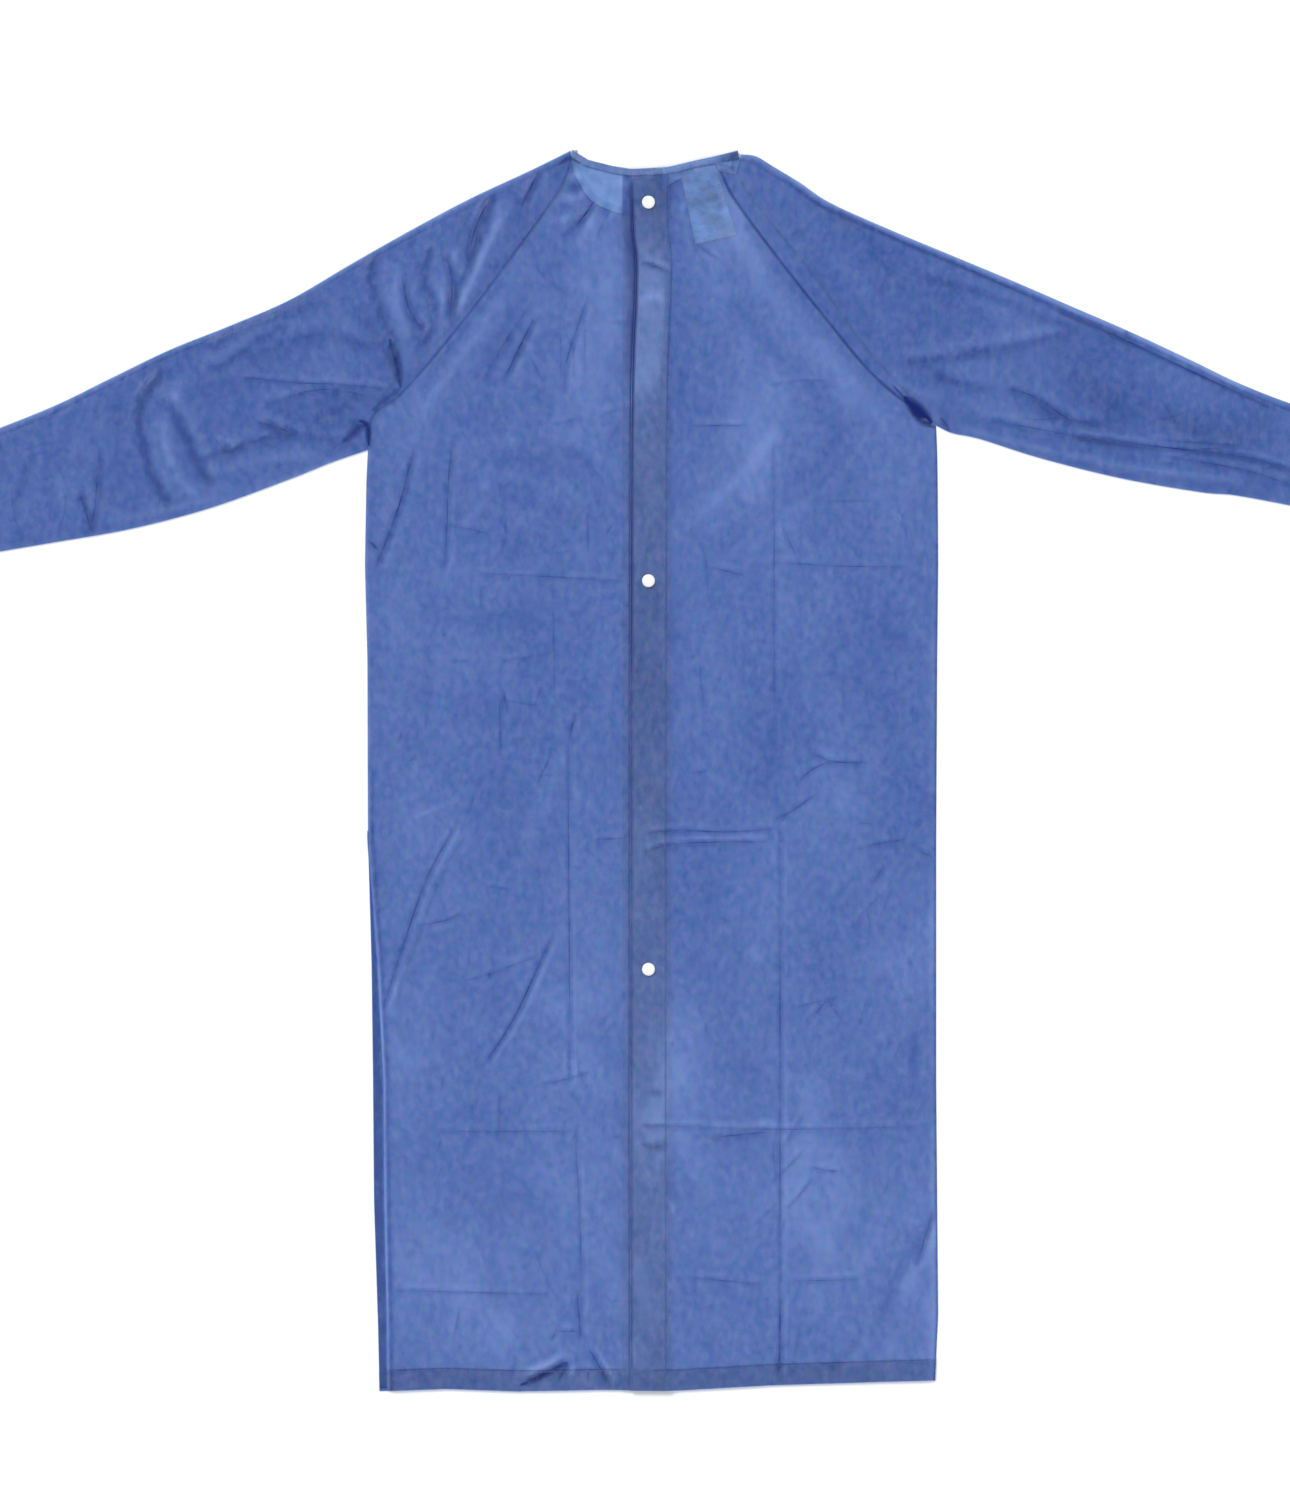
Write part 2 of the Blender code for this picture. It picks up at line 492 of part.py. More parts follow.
def make_sleeve(name, upper_edge, lower_edge, top_line, bottom_line, material):
    """A flattened tube, open at the armhole and at the cuff."""
    top = curve_through(top_line, SLEEVE_SECTIONS)
    bottom = curve_through(bottom_line, SLEEVE_SECTIONS)
    top[0], bottom[0] = upper_edge[0], upper_edge[-1]
    upper = layer_plan(upper_edge, top, bottom)
    lower = layer_plan(lower_edge, top, bottom)
    radius = WALL + GAP / 2
    upper_in, lower_in = inset_edges(upper, radius), inset_edges(lower, radius)
    across = shares_along(upper_edge)
    from_edge = np.minimum(np.linalg.norm(upper - upper[:, :1], axis=2),
                           np.linalg.norm(upper - upper[:, -1:], axis=2))
    loft = SLEEVE_LOFT * np.sin(np.pi * across)[None] * np.linspace(0.3, 1.0, SLEEVE_SECTIONS)[:, None]
    folds = fold_height(upper_in, SLEEVE_FOLDS + BODY_FOLDS, from_edge)
    rise = loft + folds + label_lift(upper_in)
    middle_line = (top + bottom) / 2
    along = np.r_[0.0, np.cumsum(np.linalg.norm(np.diff(middle_line, axis=0), axis=1))]
    cuff = smoothstep(along[-1] - 1.5 * BACK_HEM, along[-1] - 0.5 * BACK_HEM, along)[:, None]
    wall_here = WALL + TURN * cuff
    middle = wall_here + GAP / 2 + np.zeros_like(rise)

    def layer(plan, height):
        return np.concatenate([plan, height[..., None]], axis=2)

    def folded_edge(line, towards, depth):
        way = towards - line
        way = way / np.linalg.norm(way, axis=1)[:, None]
        moved = line + way * depth
        return np.column_stack([moved, middle[:, 0]])[:, None]

    flat = np.zeros((SLEEVE_SECTIONS, lower.shape[1]))
    outer = np.concatenate([
        layer(upper_in, 2 * middle + rise), folded_edge(bottom, upper_in[:, -1], 0.0),
        layer(lower_in, flat)[:, ::-1], folded_edge(top, upper_in[:, 0], 0.0),
    ], axis=1)
    inner = np.concatenate([
        layer(upper_in, middle + GAP / 2 + rise), folded_edge(bottom, upper_in[:, -1], WALL),
        layer(lower_in, flat + wall_here)[:, ::-1], folded_edge(top, upper_in[:, 0], WALL),
    ], axis=1)
    around = outer.shape[1]
    shell = SLEEVE_SECTIONS * around
    faces = []
    for s in range(SLEEVE_SECTIONS - 1):
        for k in range(around):
            a, b = s * around + k, s * around + (k + 1) % around
            d, e = a + around, b + around
            faces += [(a, d, e, b), (shell + a, shell + b, shell + e, shell + d)]
    last = (SLEEVE_SECTIONS - 1) * around
    for k in range(around):
        m = (k + 1) % around
        faces += [(k, m, shell + m, shell + k), (last + m, last + k, shell + last + k, shell + last + m)]
    points = np.vstack([outer.reshape(-1, 3), inner.reshape(-1, 3)])
    if top[-1, 0] > 0:
        faces = [face[::-1] for face in faces]
    return add_mesh(name, points, faces, material)


def strip(name, near, far, lower, thickness, material):
    """A narrow wall between two lines of the same number of points."""
    plan = np.stack([near, far])
    if np.cross(near[-1] - near[0], far[0] - near[0]) < 0:
        plan = plan[::-1]
    return wall(name, plan, lower, thickness, material)


def make_bindings(material, front_neck, left_top, right_top):
    base = np.vstack([NECK_POINT_LEFT, front_neck, NECK_POINT_RIGHT])
    strip("neck_binding_front", offset(base, GAP), offset(base, GAP + BINDING), 0.0, WALL, material)

    def outline(line, near):
        line = np.array(line)
        return np.column_stack([near[:, 0], np.interp(near[:, 0], line[:, 0], line[:, 1])])

    near = left_top + [0.0, GAP]
    far = outline(BACK_NECK_LEFT_TOP, near)
    strip("neck_binding_back_left", near, far, WALL + GAP, BINDING_WALL, material)
    near = np.vstack([right_top, SLEEVE_NECK_CORNER_RIGHT]) + [0.0, GAP]
    far = outline(BACK_NECK_RIGHT_TOP + [BACK_NECK_RIGHT_END], near)
    far[-1] = BACK_NECK_RIGHT_END
    plan = np.stack([near, far])
    lower = WALL + GAP + underlap_lift(plan) + label_lift(plan)
    strip("neck_binding_back_right", near, far, lower, BINDING_WALL, material)


def make_label(material):
    rows, columns = LABEL_CELLS
    top_left, top_right, bottom_left, bottom_right = np.array(LABEL_CORNERS)
    up = np.linspace(0.0, 1.0, rows + 1)[:, None, None]
    across = np.linspace(0.0, 1.0, columns + 1)[None, :, None]
    low = bottom_left * (1.0 - across) + bottom_right * across
    high = top_left * (1.0 - across) + top_right * across
    wall("neck_label", low * (1.0 - up) + high * up, WALL + GAP, WALL, material)


def make_cap(name, y, base, material):
    """A domed cap turned from half of its profile, radius and height as shares of the cap's own."""
    profile = [(1.0, 0.0), (1.0, 0.30), (0.93, 0.52), (0.78, 0.74), (0.52, 0.93)]
    points = [(CAP_X, y, base), (CAP_X, y, base + CAP_HEIGHT)]
    angles = np.linspace(0.0, 2 * np.pi, CAP_SEGMENTS, endpoint=False)
    for radius, height in profile:
        reach, level = CAP_RADIUS * radius, base + CAP_HEIGHT * height
        points += [(CAP_X + reach * np.cos(angle), y + reach * np.sin(angle), level) for angle in angles]
    faces = []
    for k in range(CAP_SEGMENTS):
        m = (k + 1) % CAP_SEGMENTS
        faces.append((0, 2 + m, 2 + k))
        for ring in range(len(profile) - 1):
            a, b = 2 + ring * CAP_SEGMENTS + k, 2 + ring * CAP_SEGMENTS + m
            faces.append((a, b, b + CAP_SEGMENTS, a + CAP_SEGMENTS))
        last = 2 + (len(profile) - 1) * CAP_SEGMENTS
        faces.append((1, last + k, last + m))
    add_mesh(name, points, faces, material)


def main():
    clear_scene()
    film = make_material("film", FILM_BLUE, 0.42)
    sleeve_film = make_material("sleeve film", SLEEVE_BLUE, 0.42)
    front_film = make_material("front film", FRONT_BLUE, 0.42)
    binding_film = make_material("binding film", BINDING_BLUE, 0.38)
    label_cloth = make_material("label cloth", LABEL_WHITE, 0.60)
    cap_plastic = make_material("cap plastic", CAP_WHITE, 0.25)

    # The seams run neck to underarm: on the left the panel lies to the left of that way,
    # and on the right it lies to the right of it.
    back_left, sleeve_left_upper = seam_edges(BACK_SEAM_LEFT, 1)
    front_left, sleeve_left_lower = seam_edges(FRONT_SEAM_LEFT, 1)
    back_right, sleeve_right_upper = seam_edges(BACK_SEAM_RIGHT, -1)
    front_right, sleeve_right_lower = seam_edges(FRONT_SEAM_RIGHT, -1)

    front_neck = make_front(front_film, front_left, front_right)
    left_top = make_back_left(film, back_left)
    right_top = make_back_right(film, back_right)
    make_sleeve("sleeve_left",
                np.vstack([NECK_POINT_LEFT, sleeve_left_upper]),
                np.vstack([NECK_POINT_LEFT, sleeve_left_lower]),
                SLEEVE_TOP_LEFT, SLEEVE_BOTTOM_LEFT, sleeve_film)
    make_sleeve("sleeve_right",
                np.vstack([NECK_POINT_RIGHT, SLEEVE_NECK_CORNER_RIGHT, sleeve_right_upper]),
                np.vstack([NECK_POINT_RIGHT, sleeve_right_lower]),
                SLEEVE_TOP_RIGHT, SLEEVE_BOTTOM_RIGHT, sleeve_film)
    make_bindings(binding_film, front_neck, left_top, right_top)
    make_label(label_cloth)
    cap_base = 2 * (WALL + GAP) + 2 * TURN + WALL + GAP
    for place, y in CAP_Y.items():
        make_cap("snap_cap_" + place, y, cap_base, cap_plastic)


main()
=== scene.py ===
# A long-sleeved over-apron of see-through blue film, laid flat with its snapped back opening up.
# Sizes in the tables are millimetres: x to the wearer's right, y from the hem to the neck.
import math

import bmesh
import bpy
import numpy as np
from mathutils import Matrix, Vector
from mathutils.bvhtree import BVHTree


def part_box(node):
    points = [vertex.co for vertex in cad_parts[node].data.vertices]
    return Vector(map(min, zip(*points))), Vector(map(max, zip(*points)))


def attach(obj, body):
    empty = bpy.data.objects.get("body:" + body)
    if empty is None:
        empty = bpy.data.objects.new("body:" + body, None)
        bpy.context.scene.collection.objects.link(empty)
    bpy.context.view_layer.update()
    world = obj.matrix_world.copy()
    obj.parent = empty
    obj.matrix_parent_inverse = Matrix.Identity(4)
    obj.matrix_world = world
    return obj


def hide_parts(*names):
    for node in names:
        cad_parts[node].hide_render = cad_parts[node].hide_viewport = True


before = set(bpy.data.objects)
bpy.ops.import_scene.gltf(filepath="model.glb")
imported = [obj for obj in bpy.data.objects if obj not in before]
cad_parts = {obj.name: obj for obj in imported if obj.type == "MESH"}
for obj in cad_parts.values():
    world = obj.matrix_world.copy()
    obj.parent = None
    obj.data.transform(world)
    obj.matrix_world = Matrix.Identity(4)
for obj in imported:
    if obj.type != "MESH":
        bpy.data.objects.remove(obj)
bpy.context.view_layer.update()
mm = 0.001

garment = {
    "film": 0.25,           # thickness of the film as shown
    "cell": 3.3,            # size of the cloth mesh's cells
    "frontLevel": 0.35,     # height of the front film's middle
    "backBed": 1.3,         # height of what the back film lies on
    "backClear": 0.25,      # from there to the back film's middle
    "hemDepth": 21.0,
    "frontHemDepth": 18.0,
    "hemRadius": 0.30,      # of the turn at the hem
    "seamGap": 0.30,        # between two pieces at a raglan seam
    "facingRadius": 0.55,   # of the turn at the back opening
    "bindingWidth": 6.5,
    "hemLevel": -615.0,
    "frontWidth": 572.0,    # widths that set the number of a panel's columns
    "leftWidth": 275.0,
    "rightWidth": 305.0,
    "frontCell": 5.4,
    "underlapEdge": 10.0,   # x of the under-lap's turned edge
    "underlapFacing": 40.0,
    "overlapFacing": 37.0,
    "overlapRaw": 15.0,     # x of the raw edge of the over-lap's facing
    "facingLift": 1.2,      # of the outer film over its own facing
    "hemLift": 0.70,        # of the outer film over its own turned hem
    "hemStep": 0.60,        # of whatever lies on the turned hem below
    "hemShade": 0.26,       # how much darker the doubled hem looks
    "neckFall": 1.1,        # of the back film inside the front neck
    "underlapLift": 1.90,   # of the over-lap where the under-lap is below
    "sideFall": 0.85,       # of a back film where it meets the front film
    "underlapClimb": (-34.0, -29.5),  # x where the film climbs onto a facing
    "overlapClimb": (14.5, 19.0),
    "underarmLeft": (-285.0, 321.0),
    "underarmRight": (283.0, 345.5),
}

outline = {
    # y, front's left side, back's left side, right side
    "sides": [
        (-615, -273.5, -265.5, 282), (-549, -275, -266, 285), (-429, -279, -268.5, 284),
        (-309, -280, -269.5, 283), (-189, -281.5, -275.5, 283), (-69, -285, -285, 283),
        (111, -285.5, -285.5, 284), (206, -288, -288, 285), (290, -286.5, -286.5, 284.5),
        (321, -285, -285, 284), (346, -285, -285, 283),
    ],
    "hem": [
        (-274, -620), (-207, -617.5), (-137, -620), (-53, -618.5), (25, -619.2), (115, -614),
        (227, -610.5), (285, -609),
    ],
    # raglan seams, neck to underarm
    "backSeamLeft": [
        (-80.8, 613), (-93, 582), (-134, 523), (-183, 458), (-232, 398), (-256, 372), (-279, 356),
        garment["underarmLeft"],
    ],
    "frontSeamLeft": [
        (-79, 598), (-101, 568), (-153, 501), (-223, 421), (-270, 375), garment["underarmLeft"],
    ],
    "backSeamRight": [
        (64.3, 607.3), (81, 572), (126, 511), (191, 429), (228, 388), garment["underarmRight"],
    ],
    "frontSeamRight": [
        (82.5, 597), (104, 565), (160, 496), (213, 423), (247, 386), garment["underarmRight"],
    ],
    "neckPointLeft": (-82.5, 620),
    "neckPointRight": (88, 616.5),
    "sleeveNeckCorner": (86.2, 611.5),
    "frontNeck": [
        (-79, 598), (-64, 573), (-46, 562), (-25, 558), (0, 572), (22, 590), (46, 598), (66, 600),
        (82.5, 597),
    ],
    "backNeckLeft": [(-80.8, 613), (-67, 604.5), (-43, 598), (-23, 595), (10, 595)],
    "backNeckLeftTop": [(-81, 620.8), (-65, 611), (-41, 605), (-23, 602), (10, 602)],
    "backNeckRight": [(-21.5, 594.5), (15, 596.5), (47, 604.3), (64.3, 607.3), (86.2, 611.5)],
    "backNeckRightTop": [(-21.5, 601.5), (15, 603.5), (47, 611.2), (63, 614.5), (84.2, 620)],
    # the over-lap's free edge, hem to neck
    "overlap": [
        (-23, -615), (-23.2, -150), (-22.2, 341), (-18.2, 471), (-17.6, 514), (-20.6, 536),
        (-21.8, 566), (-21.5, 594.5),
    ],
    # sleeve edges, neck point and underarm to cuff
    "sleeveTopLeft": [
        (-82.5, 620), (-123, 600), (-183, 572), (-243, 540), (-303, 506), (-363, 471), (-423, 445),
        (-483, 421), (-543, 392), (-603, 363), (-683, 332), (-768, 305),
    ],
    "sleeveBottomLeft": [
        garment["underarmLeft"], (-323, 308), (-363, 292), (-443, 263), (-523, 242), (-603, 228),
        (-673, 216), (-738, 203),
    ],
    "sleeveTopRight": [
        (88, 616.5), (103, 614.5), (119, 605), (147, 588), (177, 568), (237, 541), (297, 516),
        (357, 491), (417, 465), (477, 439), (537, 411), (587, 387), (647, 364), (707, 347), (768, 333),
    ],
    "sleeveBottomRight": [
        garment["underarmRight"], (299, 338), (327, 332), (387, 313), (467, 293), (547, 279),
        (587, 275), (667, 259), (737, 239),
    ],
}


# Curves and soft steps
def smoothStep(start, end, value):
    share = np.clip((np.asarray(value) - start) / (end - start), 0.0, 1.0)
    return share * share * (3.0 - 2.0 * share)


def bell(value, middle, width):
    return np.exp(-(((value - middle) / width) ** 2))


def stepsOf(points):
    return np.linalg.norm(np.diff(np.asarray(points, float), axis=0), axis=1)


def distancesAlong(points):
    return np.r_[0.0, np.cumsum(stepsOf(points))]


def unit(ways):
    return ways / np.linalg.norm(ways, axis=1)[:, None]


def evenly(points, count):
    points = np.asarray(points, float)
    lengths = distancesAlong(points)
    wanted = np.linspace(0.0, lengths[-1], count)
    return np.column_stack([np.interp(wanted, lengths, points[:, k]) for k in (0, 1)])


def curveThrough(points, count):  # a smooth curve through the points, evenly spaced
    points = np.asarray(points, float)
    ends = np.vstack([2 * points[0] - points[1], points, 2 * points[-1] - points[-2]])
    t = np.linspace(0.0, 1.0, 12, endpoint=False)[:, None]
    pieces = []
    for a, b, c, d in zip(ends[:-3], ends[1:-2], ends[2:-1], ends[3:]):
        bend = (c - a) * t + (2 * a - 5 * b + 4 * c - d) * t**2 + (3 * b - a - 3 * c + d) * t**3
        pieces.append(b + 0.5 * bend)
    return evenly(np.vstack(pieces + [points[-1:]]), count)


def lengthOf(points):
    return stepsOf(points).sum()


def sharesAlong(points):
    lengths = distancesAlong(points)
    return lengths / lengths[-1]


def leftOf(points, distance):  # the line moved to the left of its way
    points = np.asarray(points, float)
    way = unit(np.diff(points, axis=0))
    side = np.column_stack([-way[:, 1], way[:, 0]])
    before, after = np.vstack([side[:1], side]), np.vstack([side, side[-1:]])
    middle = unit(before + after)
    reach = np.maximum((middle * before).sum(axis=1), 0.5)
    return points + middle * (np.asarray(distance) / reach)[..., None]


def farFrom(x, y, line):  # distance from each place to a line, its side and its share along
    best = np.full(x.shape, 1e9)
    side = np.zeros(x.shape)
    along = np.zeros(x.shape)
    shares = sharesAlong(line)
    for k, (a, b) in enumerate(zip(line, line[1:])):
        way = b - a
        length = max(np.hypot(*way), 1e-6)
        t = np.clip(((x - a[0]) * way[0] + (y - a[1]) * way[1]) / length**2, 0.0, 1.0)
        dx, dy = x - a[0] - t * way[0], y - a[1] - t * way[1]
        away = np.hypot(dx, dy)
        closer = away < best
        best = np.where(closer, away, best)
        side = np.where(closer, np.sign(way[0] * dy - way[1] * dx), side)
        along = np.where(closer, shares[k] + (shares[k + 1] - shares[k]) * t, along)
    return best, side, along


def waves(x, y, length, seed):  # a smooth uneven field, about -1 to 1
    draw = np.random.default_rng(seed)
    field = np.zeros(x.shape)
    for _ in range(14):
        turn, phase = draw.uniform(0.0, 2 * math.pi, 2)
        step = 2 * math.pi / (length * draw.uniform(0.7, 1.5))
        field += np.cos(step * (x * math.cos(turn) + y * math.sin(turn)) + phase)
    return field / 3.8


def foldOver(t, radius):  # a turned edge: cloth place t gives how far in it lies, and how low
    quarter = math.pi * radius / 2
    angle = np.clip((quarter - t) / radius, 0.0, math.pi)
    flat = np.abs(t) - quarter
    inward = np.where(flat > 0.0, flat, -radius * np.sin(angle))
    return inward + radius, radius * (1.0 - np.cos(angle))


def turnedPlaces(depth, radius):  # cloth places over a turned edge, its raw edge first
    quarter = math.pi * radius / 2
    count = max(int(round(depth / garment["cell"])), 3)
    bend = np.linspace(-quarter, quarter, 6)[1:]
    return np.r_[np.linspace(-depth - quarter, -quarter, count + 1), bend]


# Creases. Columns: half width, height, haze (under 0 darker, over 0 paler), then the x and y of each point
# on the way. Dark haze paints the shade in a crease, and pale haze is partly a painted highlight.
def creaseTable(*rows):
    return [(list(zip(row[3::2], row[4::2])), *row[:3]) for row in rows]


creasesLeft = creaseTable(
    (20, 1, 0.18, -105, 535, -205, 398, -262, 290), (12, 0.8, -0.22, -180, 380, -150, 440, -120, 500),
    (16, 0.8, -0.2, -60, 520, -50, 430, -52, 360), (20, 0.8, -0.22, -240, 180, -180, 150, -100, 160),
    (18, 0.8, 0.2, -60, 350, -120, 330, -190, 330), (4.2, 2, -0.9, -118, 454, -135, 420, -150, 388),
    (3.6, 1.6, -0.45, -65, 474, -87, 407, -87, 376), (2.4, 0.6, -0.2, -93, 466, -92, 376),
    (2.4, 0.6, -0.2, -80, 440, -79, 385), (2.4, 0.6, -0.2, -69, 452, -68, 392),
    (2.8, 1, -0.35, -124, 417, -109, 386), (4.2, 3, -0.9, -239, 323, -254, 264, -278, 201),
    (3.2, 1.8, -0.55, -198, 340, -204, 297, -206, 243, -209, 199),
    (9, 1.8, 0.42, -89, 334, -55, 308, -29, 256), (8, 1.4, 0.3, -150, 340, -134, 322),
    (7, 1.8, 0.27, -165, 273, -198, 230), (4, 1.2, 0.3, -163, 267, -120, 243, -85, 230),
    (6, 1.2, 0.3, -96, 297, -68, 264), (2.6, 0.9, -0.35, -183, 198, -100, 194, -24, 189),
    (2.6, 0.8, -0.3, -100, 178, -98, 69), (2.4, 0.6, -0.3, -172, 188, -172, 161),
    (2.4, 0.7, -0.3, -154, 80, -152, 11), (2.4, 0.6, -0.3, -65, 264, -65, 212),
    (2.8, 1.4, -0.8, -76, 61, -85, 30), (2.6, 1, -0.5, -150, 84, -146, 58),
    (11, 2.6, 0.24, -88, 21, -109, -34, -135, -116), (2.6, 1.2, -0.5, -85, 31, -84, -140, -83, -309),
    (2.6, 1, -0.4, -78, -356, -73, -456, -71, -543),
    (3.2, 2.6, -0.9, -100, -162, -120, -207, -141, -251, -169, -294),
    (3.2, 1.2, 0.24, -172, -19, -202, -32, -241, -47),
    (3.2, 2, -0.7, -196, -51, -222, -99, -239, -142, -270, -238),
    (3, 1, -0.18, -187, -62, -212, -106, -229, -150, -258, -234),
    (24, 0.3, 0.16, -255, 290, -259, 150, -262, 20), (5.5, 0.6, -0.24, -226, 140, -225, 90, -227, 40),
    (2.6, 1, -0.35, -101, 28, -106, 8, -118, -16), (2.8, 1, -0.4, -189, -140, -206, -149, -239, -155),
    (2.8, 1, -0.3, -172, -114, -137, -119), (2.8, 1.2, -0.3, -163, -203, -113, -184),
    (2.8, 1.2, -0.3, -163, -203, -189, -210), (5, 1.2, -0.7, -166, -203, -160, -203),
    (2.8, 1, -0.4, -63, -69, -24, -67), (5, 1.2, -0.5, -211, 136, -205, 136),
    (2.6, 0.9, -0.3, -215, -360, -81, -360), (2.6, 0.8, -0.3, -260, -519, -103, -523),
    (4.4, 2.4, -1, -132, -614, -113, -603, -83, -588), (3.6, 1, 0.28, -128, -606, -104, -594, -84, -584),
    (3.4, 1.8, -0.8, -83, -588, -96, -611), (3.6, 1, 0.25, -78, -590, -84, -612),
    (3.4, 1.8, -1, -65, -576, -43, -613), (3.6, 0.8, 0.2, -57, -580, -36, -612),
    (2.6, 1, -0.5, -65, -599, -65, -608), (2.6, 1, -0.5, -95, -556, -103, -573),
    (2.6, 1, -0.4, -97, -560, -72, -560), (5, 1.6, -1.15, -58, 571, -65, 560, -76, 545),
    (7.5, 1.6, -0.6, -66, 560, -78, 545, -92, 530), (34, 0.3, 0.4, -58, 560, -56, 440, -58, 320),
    (12, 0.6, 0.2, -50, 500, -47, 440, -50, 380), (7, 1, 0.26, -262, 300, -272, 240),
    (3.5, 1.4, -0.7, -76, -520, -72, -570), (9, 1.4, 0.18, -160, 505, -205, 448, -262, 372),
    (7, 1.2, -0.26, -150, 492, -192, 440, -232, 382), (4.5, 1.2, -0.34, -120, 470, -150, 425, -172, 385),
    (7, 1.2, 0.26, -192, 262, -160, 290, -120, 290, -80, 262),
    (6, 1.2, 0.26, -150, 232, -120, 255, -88, 238, -60, 205),
    (9, 1.6, -0.36, -88, 330, -52, 300, -30, 262), (5, 1.2, 0.14, -170, 440, -214, 380, -246, 318),
)
creasesRight = creaseTable(
    (7, 0.8, -0.28, 90, 552, 150, 470, 205, 405, 260, 350),
    (13, 1, 0.15, 75, 545, 135, 462, 190, 395, 245, 335), (16, 0.8, -0.2, 70, 480, 150, 390, 200, 330),
    (16, 1, -0.2, 180, 320, 120, 270, 60, 215), (8, 0, -0.55, 19, 600, 19, 566),
    (5.5, 0.4, 0.5, 27, 571, 30, 555), (2.6, 0.8, -0.4, 39, 345, 95, 345),
    (2.8, 1, -0.4, 56, 204, 93, 195), (2.6, 0.9, -0.35, 117, 202, 126, 208, 178, 205, 256, 204),
    (2.4, 0.9, -0.35, 121, 331, 121, 170, 121, 11), (2.5, 1.2, -0.55, 127, -59, 127, -290, 127, -519),
    (3, 1.2, -0.8, 127, -519, 126.5, -608), (60, 0.3, 0.26, 110, 480, 105, 330, 100, 180),
    (4.5, 1.2, 0.3, 15, -262, 22, -280), (5, 1.4, 0.32, 15, -425, 24, -445),
    (4, 1, 0.28, 14, -508, 22, -522), (6, 0.8, -0.3, -8, -318, 6, -322, 14, -318),
    (5, 1, -0.45, -14, -372, 2, -376, 16, -370), (5, 1, 0.3, -16, 465, -2, 474, 16, 470),
    (7, 1.4, 0.2, 126, 340, 91, 297, 52, 260, 19, 230), (3, 1.8, -0.6, 156, 20, 178, 10, 217, 8),
    (3, 1.4, -0.5, 178, 10, 158, 1, 145, -12), (3, 1.4, -0.5, 165, -21, 139, -40, 121, -49),
    (2.8, 1.5, -0.5, -13, -64, 22, -59, 74, -61, 126, -57),
    (2.8, 1.4, -0.5, -13, -83, 19, -73, 74, -71, 117, -71), (4, 0.4, 0.24, 0, -70, 60, -66, 118, -64),
    (2.6, 1.2, -0.4, 208, -75, 234, -71, 258, -67), (2.6, 1.2, -0.5, 264, -79, 282, -87),
    (4, 1.4, -0.4, 234, -90, 217, -116), (8, 1.2, 0.24, 40, -168, 50, -178),
    (8, 1.4, 0.24, 91, -175, 117, -194), (5, 1, -0.5, 253, -192, 259, -192),
    (5, 1, -0.5, 233, -272, 239, -272), (5, 1, -0.45, 16, -272, 22, -272),
    (5, 0.8, -0.4, 256, 61, 262, 61), (3, 1.2, -0.5, 160, -246, 175, -227),
    (2.8, 1.2, -0.3, -13, -354, 130, -358, 277, -355), (5, 1.6, -0.55, 52, -367, 121, -360),
    (2.8, 1, -0.35, 31, -505, 114, -514), (2.8, 1, -0.35, 132, -510, 206, -508),
    (8, 2, -0.35, 273, -450, 241, -508, 228, -552), (4.5, 1.6, -0.6, 281, -436, 272, -465, 262, -498),
    (5.5, 0.8, -0.36, 262, -258, 259, -318), (6, 1.6, -0.35, 210, -555, 177, -601),
    (3, 1.2, -0.5, -13, 509, 5, 503, 22, 496), (3, 0.6, 0.21, -12, -198, 20, -196),
    (3, 0.6, 0.18, -16, 190, 18, 192),
)
creasesSleeveRight = creaseTable(
    (2.6, 1, -0.42, 134, 590, 150, 576, 171, 563, 191, 556, 232, 537, 273, 519, 307, 505, 440, 445),
    (2.8, 1.2, -0.9, 405, 460, 440, 445, 500, 417, 560, 389, 620, 362),
    (5.5, 1.4, -0.4, 262, 497, 329, 478, 384, 455, 424, 442),
    (4, 0.4, 0.21, 138, 596, 176, 570, 236, 543, 311, 511, 444, 452, 592, 383),
    (3.4, 2.2, -0.8, 421, 334, 496, 325, 588, 314, 640, 300), (8, 1.8, -0.5, 376, 371, 409, 351),
    (9, 1.6, -0.3, 297, 421, 339, 419), (5.4, 1.6, -0.46, 245, 409, 300, 414, 347, 422, 416, 437),
    (6.5, 1.6, -0.45, 272, 400, 300, 390, 318, 384, 342, 383),
    (5, 2, -0.6, 350, 383, 376, 376, 400, 361, 420, 350, 452, 347),
    (9, 1, 0.24, 262, 383, 300, 372, 350, 357, 402, 337), (8, 0.8, 0.2, 288, 404, 335, 404, 372, 400),
    (2.8, 1.2, -0.4, 497, 331, 589, 325), (2.8, 1.2, -0.4, 510, 315, 589, 301, 650, 282),
    (6, 1.2, 0.24, 235, 391, 262, 380, 312, 352), (14, 1.4, 0.12, 300, 480, 360, 452, 420, 420),
    (7, 0.8, 0.18, 250, 416, 320, 428, 420, 446), (24, 0.6, -0.35, 430, 372, 520, 350, 600, 330),
    (5, 1, 0.5, 300, 343, 387, 322, 483, 303, 592, 289), (4, 1.2, -0.4, 330, 352, 420, 335, 500, 320),
    (12, 0.8, -0.22, 150, 585, 200, 545, 240, 500), (9, 1, 0.22, 178, 520, 215, 470, 240, 430),
    (3.6, 0, 0.4, 142, 594, 176, 572, 236, 545, 311, 514, 444, 456, 592, 385),
    (5, 1.6, -0.4, 640, 345, 700, 296),
)
